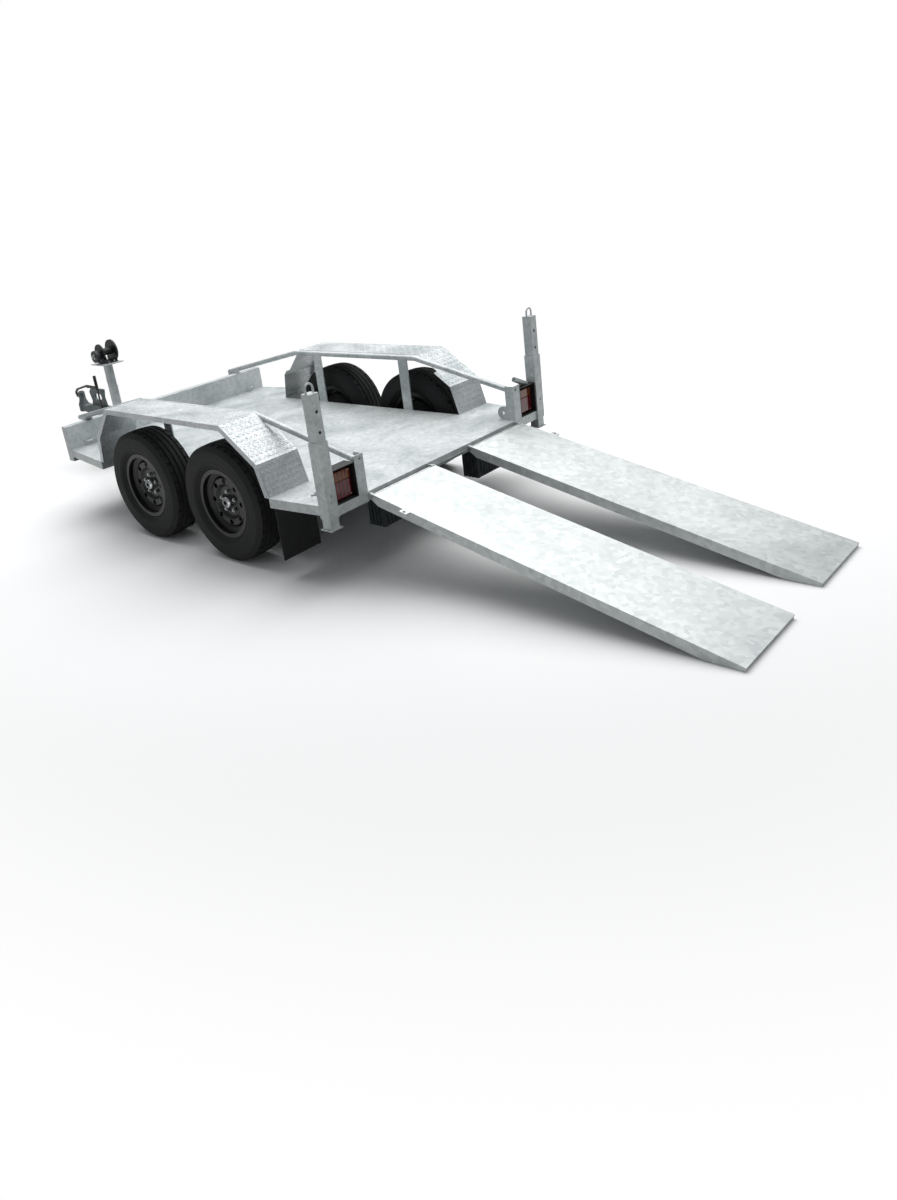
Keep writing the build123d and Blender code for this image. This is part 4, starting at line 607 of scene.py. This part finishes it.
class TRAILER_OT_hardware(bpy.types.Operator):
    """Add the bolts, U-bolts, screws, washers and pin nuts that hold the trailer together"""
    bl_idname = "trailer.hardware"
    bl_label = "Bolts and U-bolts"

    def execute(self, context):
        size = context.scene.trailer_dressing.bolt_size
        self.spring_clamps(size)
        self.hanger_nuts(size)
        self.lamp_screws()
        self.flap_bolts(size)
        self.hinge_washers()
        self.winch_bolts(size)
        self.coupling_bolts(size)
        return {"FINISHED"}

    def springs(self):
        """Centre y and half width of the left springs."""
        half = SPRING_WIDTH / 2
        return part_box("leaf_springs")[1][1] - half, half

    def spring_clamps(self, size):
        """Two U-bolts over each spring, with a plate and nuts under the axle."""
        bm = bmesh.new()
        y_mid, half = self.springs()
        rod = CLAMP_ROD
        for end in ENDS:
            x = middle(f"hub_{end}_left").x
            for sign in SIDES.values():
                beam = AXLE_CENTRE_Z - AXLE_BEAM / 2
                top = beam + AXLE_BEAM + SPRING_STACK + rod
                plate = beam - CLAMP_PLATE
                seat = Matrix.Translation((x, sign * y_mid, plate + CLAMP_PLATE / 2))
                box = seat @ Matrix.Diagonal((0.100, 2 * half + 0.034, CLAMP_PLATE, 1))
                bmesh.ops.create_cube(bm, size=1.0, matrix=box)
                for dx in (-CLAMP_SPACING, CLAMP_SPACING):
                    ends = [Vector((x + dx, sign * y_mid + s * (half + rod + 0.001), top))
                            for s in (-1, 1)]
                    bar_between(bm, ends[0], ends[1], rod)
                    for spot in ends:
                        foot = Vector((spot.x, spot.y, plate - 0.022))
                        bar_between(bm, foot, spot, rod)
                        stub(bm, (spot.x, spot.y, plate), (0, 0, -1), size * 0.577, 0.010, 6)
        dress(finished_mesh("spring_clamps", bm), "bright_steel", "trailer")

    def hanger_nuts(self, size):
        """A nut on both ends of every spring's pins."""
        bm = bmesh.new()
        low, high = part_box("spring_hangers")
        y_mid, _ = self.springs()
        eye_z = low[2] + EYE_RADIUS
        inner = 2 * y_mid - high[1]
        for end in ENDS:
            x = middle(f"hub_{end}_left").x
            for dx in (-SPRING_HALF_SPAN, SPRING_HALF_SPAN):
                for sign in SIDES.values():
                    stub(bm, (x + dx, sign * (high[1] - PIN_SINK), eye_z), (0, sign, 0),
                         size * 0.7, 0.005, 6)
                    stub(bm, (x + dx, sign * (inner + PIN_SINK), eye_z), (0, -sign, 0),
                         size * 0.7, 0.005, 6)
        dress(finished_mesh("spring_pin_nuts", bm), "bright_steel", "trailer")

    def lamp_screws(self):
        """A screw in each corner of both rear lamps."""
        bm = bmesh.new()
        low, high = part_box("stop_lenses")
        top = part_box("indicator_lenses")[1][2]
        inner = POST_OUTER_Y + SLEEVE_INNER_Y - high[1]
        for sign in SIDES.values():
            for y in (inner + 0.012, high[1] - 0.012):
                for z in (low[2] + 0.010, top - 0.010):
                    stub(bm, (low[0] + 0.0004, sign * y, z), (-1, 0, 0), SCREW_RADIUS, 0.0012, 14)
        dress(finished_mesh("lens_screws", bm, 50), "bright_steel", "trailer")

    def flap_bolts(self, size):
        """A row of bolts along the top of each mudflap."""
        bm = bmesh.new()
        low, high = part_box("mudflaps")
        for sign in SIDES.values():
            for share in FLAP_BOLT_SHARES:
                y = FLAP_BOLTS_FROM_Y + share * (high[1] - FLAP_BOLTS_FROM_Y)
                hex_bolt(bm, (low[0], sign * y, high[2] - 0.022), (-1, 0, 0), size * 0.8)
        dress(finished_mesh("mudflap_bolts", bm), "bright_steel", "trailer")

    def hinge_washers(self):
        """A washer on the ends of both ramps' hinge pins."""
        bm = bmesh.new()
        low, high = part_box("hinge_pins")
        centre = (Vector(low) + Vector(high)) / 2
        for sign in SIDES.values():
            for y, way in ((high[1] - 0.0035, sign), (RAMP_INNER_Y - 0.0005, -sign)):
                stub(bm, (centre.x, sign * y, centre.z), (0, way, 0), WASHER_RADIUS, 0.0025, 24)
        dress(finished_mesh("hinge_washers", bm), "bright_steel", "trailer")

    def winch_bolts(self, size):
        """Bolts that hold the winch on its plate and nuts on its shafts."""
        bm = bmesh.new()
        low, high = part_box("winch")
        centre = middle("winch")
        base = low[2] + 0.005
        for dx in (-WINCH_BOLT_X, WINCH_BOLT_X):
            for y in WINCH_BOLT_YS:
                hex_bolt(bm, (centre.x + dx, y, base), (0, 0, 1), size * 0.75, 0.004)
        axis_z = low[2] + WINCH_AXIS_RISE
        hex_bolt(bm, (centre.x, low[1], axis_z), (0, -1, 0), size * 1.1, 0.004)
        hex_bolt(bm, (centre.x, high[1], axis_z - 0.020), (0, 1, 0), size * 1.1, 0.006)
        dress(finished_mesh("winch_bolts", bm), "bright_steel", "trailer")

    def coupling_bolts(self, size):
        """Bolts through both sides of the coupling's channel."""
        bm = bmesh.new()
        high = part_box("drawbar")[1]
        for dx in COUPLING_BOLT_XS:
            spot = Vector((high[0] - NOSE_RUN + dx, COUPLING_HALF_WIDTH, high[2] + 0.022))
            for sign in SIDES.values():
                hex_bolt(bm, (spot.x, sign * spot.y, spot.z), (0, sign, 0), size, 0.003)
        dress(finished_mesh("coupling_bolts", bm), "bright_steel", "trailer")


class TRAILER_OT_latch_tube(bpy.types.Operator):
    """Set the open-ended tube on top of the right lamp box"""
    bl_idname = "trailer.latch_tube"
    bl_label = "Latch tube"

    def execute(self, context):
        bm = bmesh.new()
        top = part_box("lamp_boxes")[1][2]
        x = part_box("lamp_boxes")[0][0] + LAMP_BOX_DEPTH / 2
        foot = Vector((x, -TUBE_FOOT_Y, top - 0.002))
        tip = Vector((x, -TUBE_END_Y, TUBE_END_Z))
        pipe(bm, foot, tip, TUBE_RADIUS, TUBE_RADIUS - 0.003)
        dress(finished_mesh("latch_tube", bm), "galvanised_steel", "trailer")
        return {"FINISHED"}


class TRAILER_OT_welds(bpy.types.Operator):
    """Run rippled weld beads along the main joints"""
    bl_idname = "trailer.welds"
    bl_label = "Weld beads"

    def execute(self, context):
        bm = bmesh.new()
        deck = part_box("deck_plate")[1][2]
        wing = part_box("wing_frames")
        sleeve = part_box("leg_sleeves")
        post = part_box("rear_posts")
        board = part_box("front_board")
        for sign in SIDES.values():
            inner = sign * (sleeve[1][1] - SLEEVE_SIDE)
            outer = sign * sleeve[1][1]
            front = sleeve[0][0] + SLEEVE_SIDE
            self.bead(bm, (front, inner, deck), (front, outer * 0.965, deck))
            self.bead(bm, (sleeve[0][0], inner, wing[0][2]), (front, inner, wing[0][2]))
            foot = sign * (post[1][1] - POST_FACE)
            self.bead(bm, (post[0][0] + 0.008, foot, deck), (post[1][0], foot, deck))
            for x in SUPPORT_STATIONS:
                y = sign * (DECK_HALF_WIDTH + 0.008)
                self.bead(bm, (x - SUPPORT_HALF_WIDTH, y, deck), (x + SUPPORT_HALF_WIDTH, y, deck))
            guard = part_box("mudguards")
            for x in (guard[0][0], guard[1][0]):
                self.bead(bm, (x, sign * (DECK_HALF_WIDTH + 0.002), deck),
                          (x, sign * (guard[1][1] - 0.006), deck))
            self.bead(bm, (board[0][0], sign * 0.01, deck), (board[0][0], sign * 0.825, deck))
        dress(finished_mesh("weld_beads", bm, 60), "galvanised_steel", "trailer")
        return {"FINISHED"}

    def bead(self, bm, start, end, radius=0.0032, step=0.0045):
        """A row of overlapping round drops between two points."""
        start = Vector(start)
        run = Vector(end) - start
        count = max(2, int(run.length / step))
        for i in range(count):
            place = Matrix.Translation(start + run * (i + 0.5) / count)
            bmesh.ops.create_icosphere(bm, subdivisions=1, radius=radius, matrix=place)


class TRAILER_OT_stage(bpy.types.Operator):
    """Set the pale floor, the soft light and the camera"""
    bl_idname = "trailer.stage"
    bl_label = "Stage"

    def execute(self, context):
        settings = context.scene.trailer_dressing
        self.floor(settings.floor_grey)
        self.light(settings.key_power, settings.sky_level)
        self.camera(context.scene)
        context.scene.view_settings.view_transform = "Standard"
        return {"FINISHED"}

    def floor(self, grey):
        bm = bmesh.new()
        bmesh.ops.create_grid(bm, x_segments=1, y_segments=1, size=200)
        piece = finished_mesh("studio_floor", bm)
        finish, tree, shader, place = new_finish("Matt_white_floor", "FFFFFF", 0.0, 0.95)
        shader.inputs["Specular IOR Level"].default_value = 0.0
        rays = add(tree, "ShaderNodeLightPath")
        seen = sums(tree, "MAXIMUM", rays.outputs["Is Camera Ray"], rays.outputs["Is Glossy Ray"])
        seen = sums(tree, "MAXIMUM", seen, rays.outputs["Is Transmission Ray"])
        tone = add(tree, "ShaderNodeMix", {"Factor": seen}, data_type="RGBA")
        tone.inputs[6].default_value = (grey, grey, grey, 1)
        tone.inputs[7].default_value = (0.96, 0.96, 0.96, 1)
        tree.links.new(tone.outputs[2], shader.inputs["Base Color"])
        oval = add(tree, "ShaderNodeVectorMath", {0: place}, operation="MULTIPLY")
        oval.inputs[1].default_value = (0.72, 1.0, 1.0)
        away = add(tree, "ShaderNodeVectorMath", {0: oval.outputs[0]}, operation="LENGTH")
        far = add(tree, "ShaderNodeMapRange", {"Value": away.outputs["Value"]},
                  interpolation_type="SMOOTHSTEP")
        far.inputs["From Min"].default_value = 1.9
        far.inputs["From Max"].default_value = 3.5
        clear = sums(tree, "MULTIPLY", far.outputs["Result"], seen)
        paper = add(tree, "ShaderNodeEmission", Strength=1.0)
        fade = add(tree, "ShaderNodeMixShader", {"Fac": clear, 1: shader.outputs[0],
                                                 2: paper.outputs[0]})
        out = next(n for n in tree.nodes if n.type == "OUTPUT_MATERIAL")
        tree.links.new(fade.outputs[0], out.inputs["Surface"])
        piece.data.materials.append(finish)

    def light(self, power, sky):
        lamp = bpy.data.lights.new("overhead_softbox", "AREA")
        lamp.shape = "RECTANGLE"
        lamp.size = 9.0
        lamp.size_y = 7.0
        lamp.energy = power
        holder = bpy.data.objects.new("overhead_softbox", lamp)
        bpy.context.scene.collection.objects.link(holder)
        spot = Vector((0.8, -1.6, 5.5))
        holder.location = spot
        holder.rotation_euler = (-spot).to_track_quat("-Z", "Y").to_euler()
        world = bpy.data.worlds.new("even_sky")
        bpy.context.scene.world = world
        world.use_nodes = True
        tree = world.node_tree
        tree.nodes.clear()
        rays = add(tree, "ShaderNodeLightPath")
        even = add(tree, "ShaderNodeBackground", Strength=sky)
        white = add(tree, "ShaderNodeBackground", Strength=1.0)
        white.inputs["Color"].default_value = (1, 1, 1, 1)
        even.inputs["Color"].default_value = srgb("F4F7FA")
        both = add(tree, "ShaderNodeMixShader", {"Fac": rays.outputs["Is Camera Ray"],
                                                 1: even.outputs[0], 2: white.outputs[0]})
        add(tree, "ShaderNodeOutputWorld", {"Surface": both.outputs[0]})

    def camera(self, scene):
        eye = Vector((-4.1005, 3.4766, 1.8865))
        yaw, pitch, roll = -0.77344, -0.34356, -0.14229
        forward = Vector((math.cos(pitch) * math.cos(yaw), math.cos(pitch) * math.sin(yaw),
                          math.sin(pitch)))
        right = forward.cross(Vector((0, 0, 1))).normalized()
        up = right.cross(forward)
        across = math.cos(roll) * right + math.sin(roll) * up
        above = math.cos(roll) * up - math.sin(roll) * right
        turn = Matrix((across, above, -forward)).transposed()
        camera = bpy.data.cameras.new("photograph_view")
        camera.lens = 27.056
        camera.shift_x = 0.0524
        camera.shift_y = -0.0850
        holder = bpy.data.objects.new("photograph_view", camera)
        scene.collection.objects.link(holder)
        holder.matrix_world = Matrix.Translation(eye) @ turn.to_4x4()
        scene.camera = holder


class TRAILER_PT_dressing(bpy.types.Panel):
    bl_idname = "TRAILER_PT_dressing"
    bl_label = "Scissor Lift Trailer"
    bl_space_type = "VIEW_3D"
    bl_region_type = "UI"
    bl_category = "Trailer"

    def draw(self, context):
        for name in TrailerDressing.__annotations__:
            self.layout.prop(context.scene.trailer_dressing, name)
        for operator in OPERATORS:
            self.layout.operator(operator.bl_idname)


OPERATORS = (
    TRAILER_OT_finishes,
    TRAILER_OT_tyres,
    TRAILER_OT_wheel_fittings,
    TRAILER_OT_tread_bars,
    TRAILER_OT_hardware,
    TRAILER_OT_latch_tube,
    TRAILER_OT_welds,
    TRAILER_OT_stage,
)


def register():
    for part in (TrailerDressing, *OPERATORS, TRAILER_PT_dressing):
        bpy.utils.register_class(part)
    bpy.types.Scene.trailer_dressing = bpy.props.PointerProperty(type=TrailerDressing)


def unregister():
    del bpy.types.Scene.trailer_dressing
    for part in (TRAILER_PT_dressing, *reversed(OPERATORS), TrailerDressing):
        bpy.utils.unregister_class(part)


def main():
    register()
    for operator in OPERATORS:
        group, name = operator.bl_idname.split(".")
        getattr(getattr(bpy.ops, group), name)()


if __name__ == "__main__":
    main()
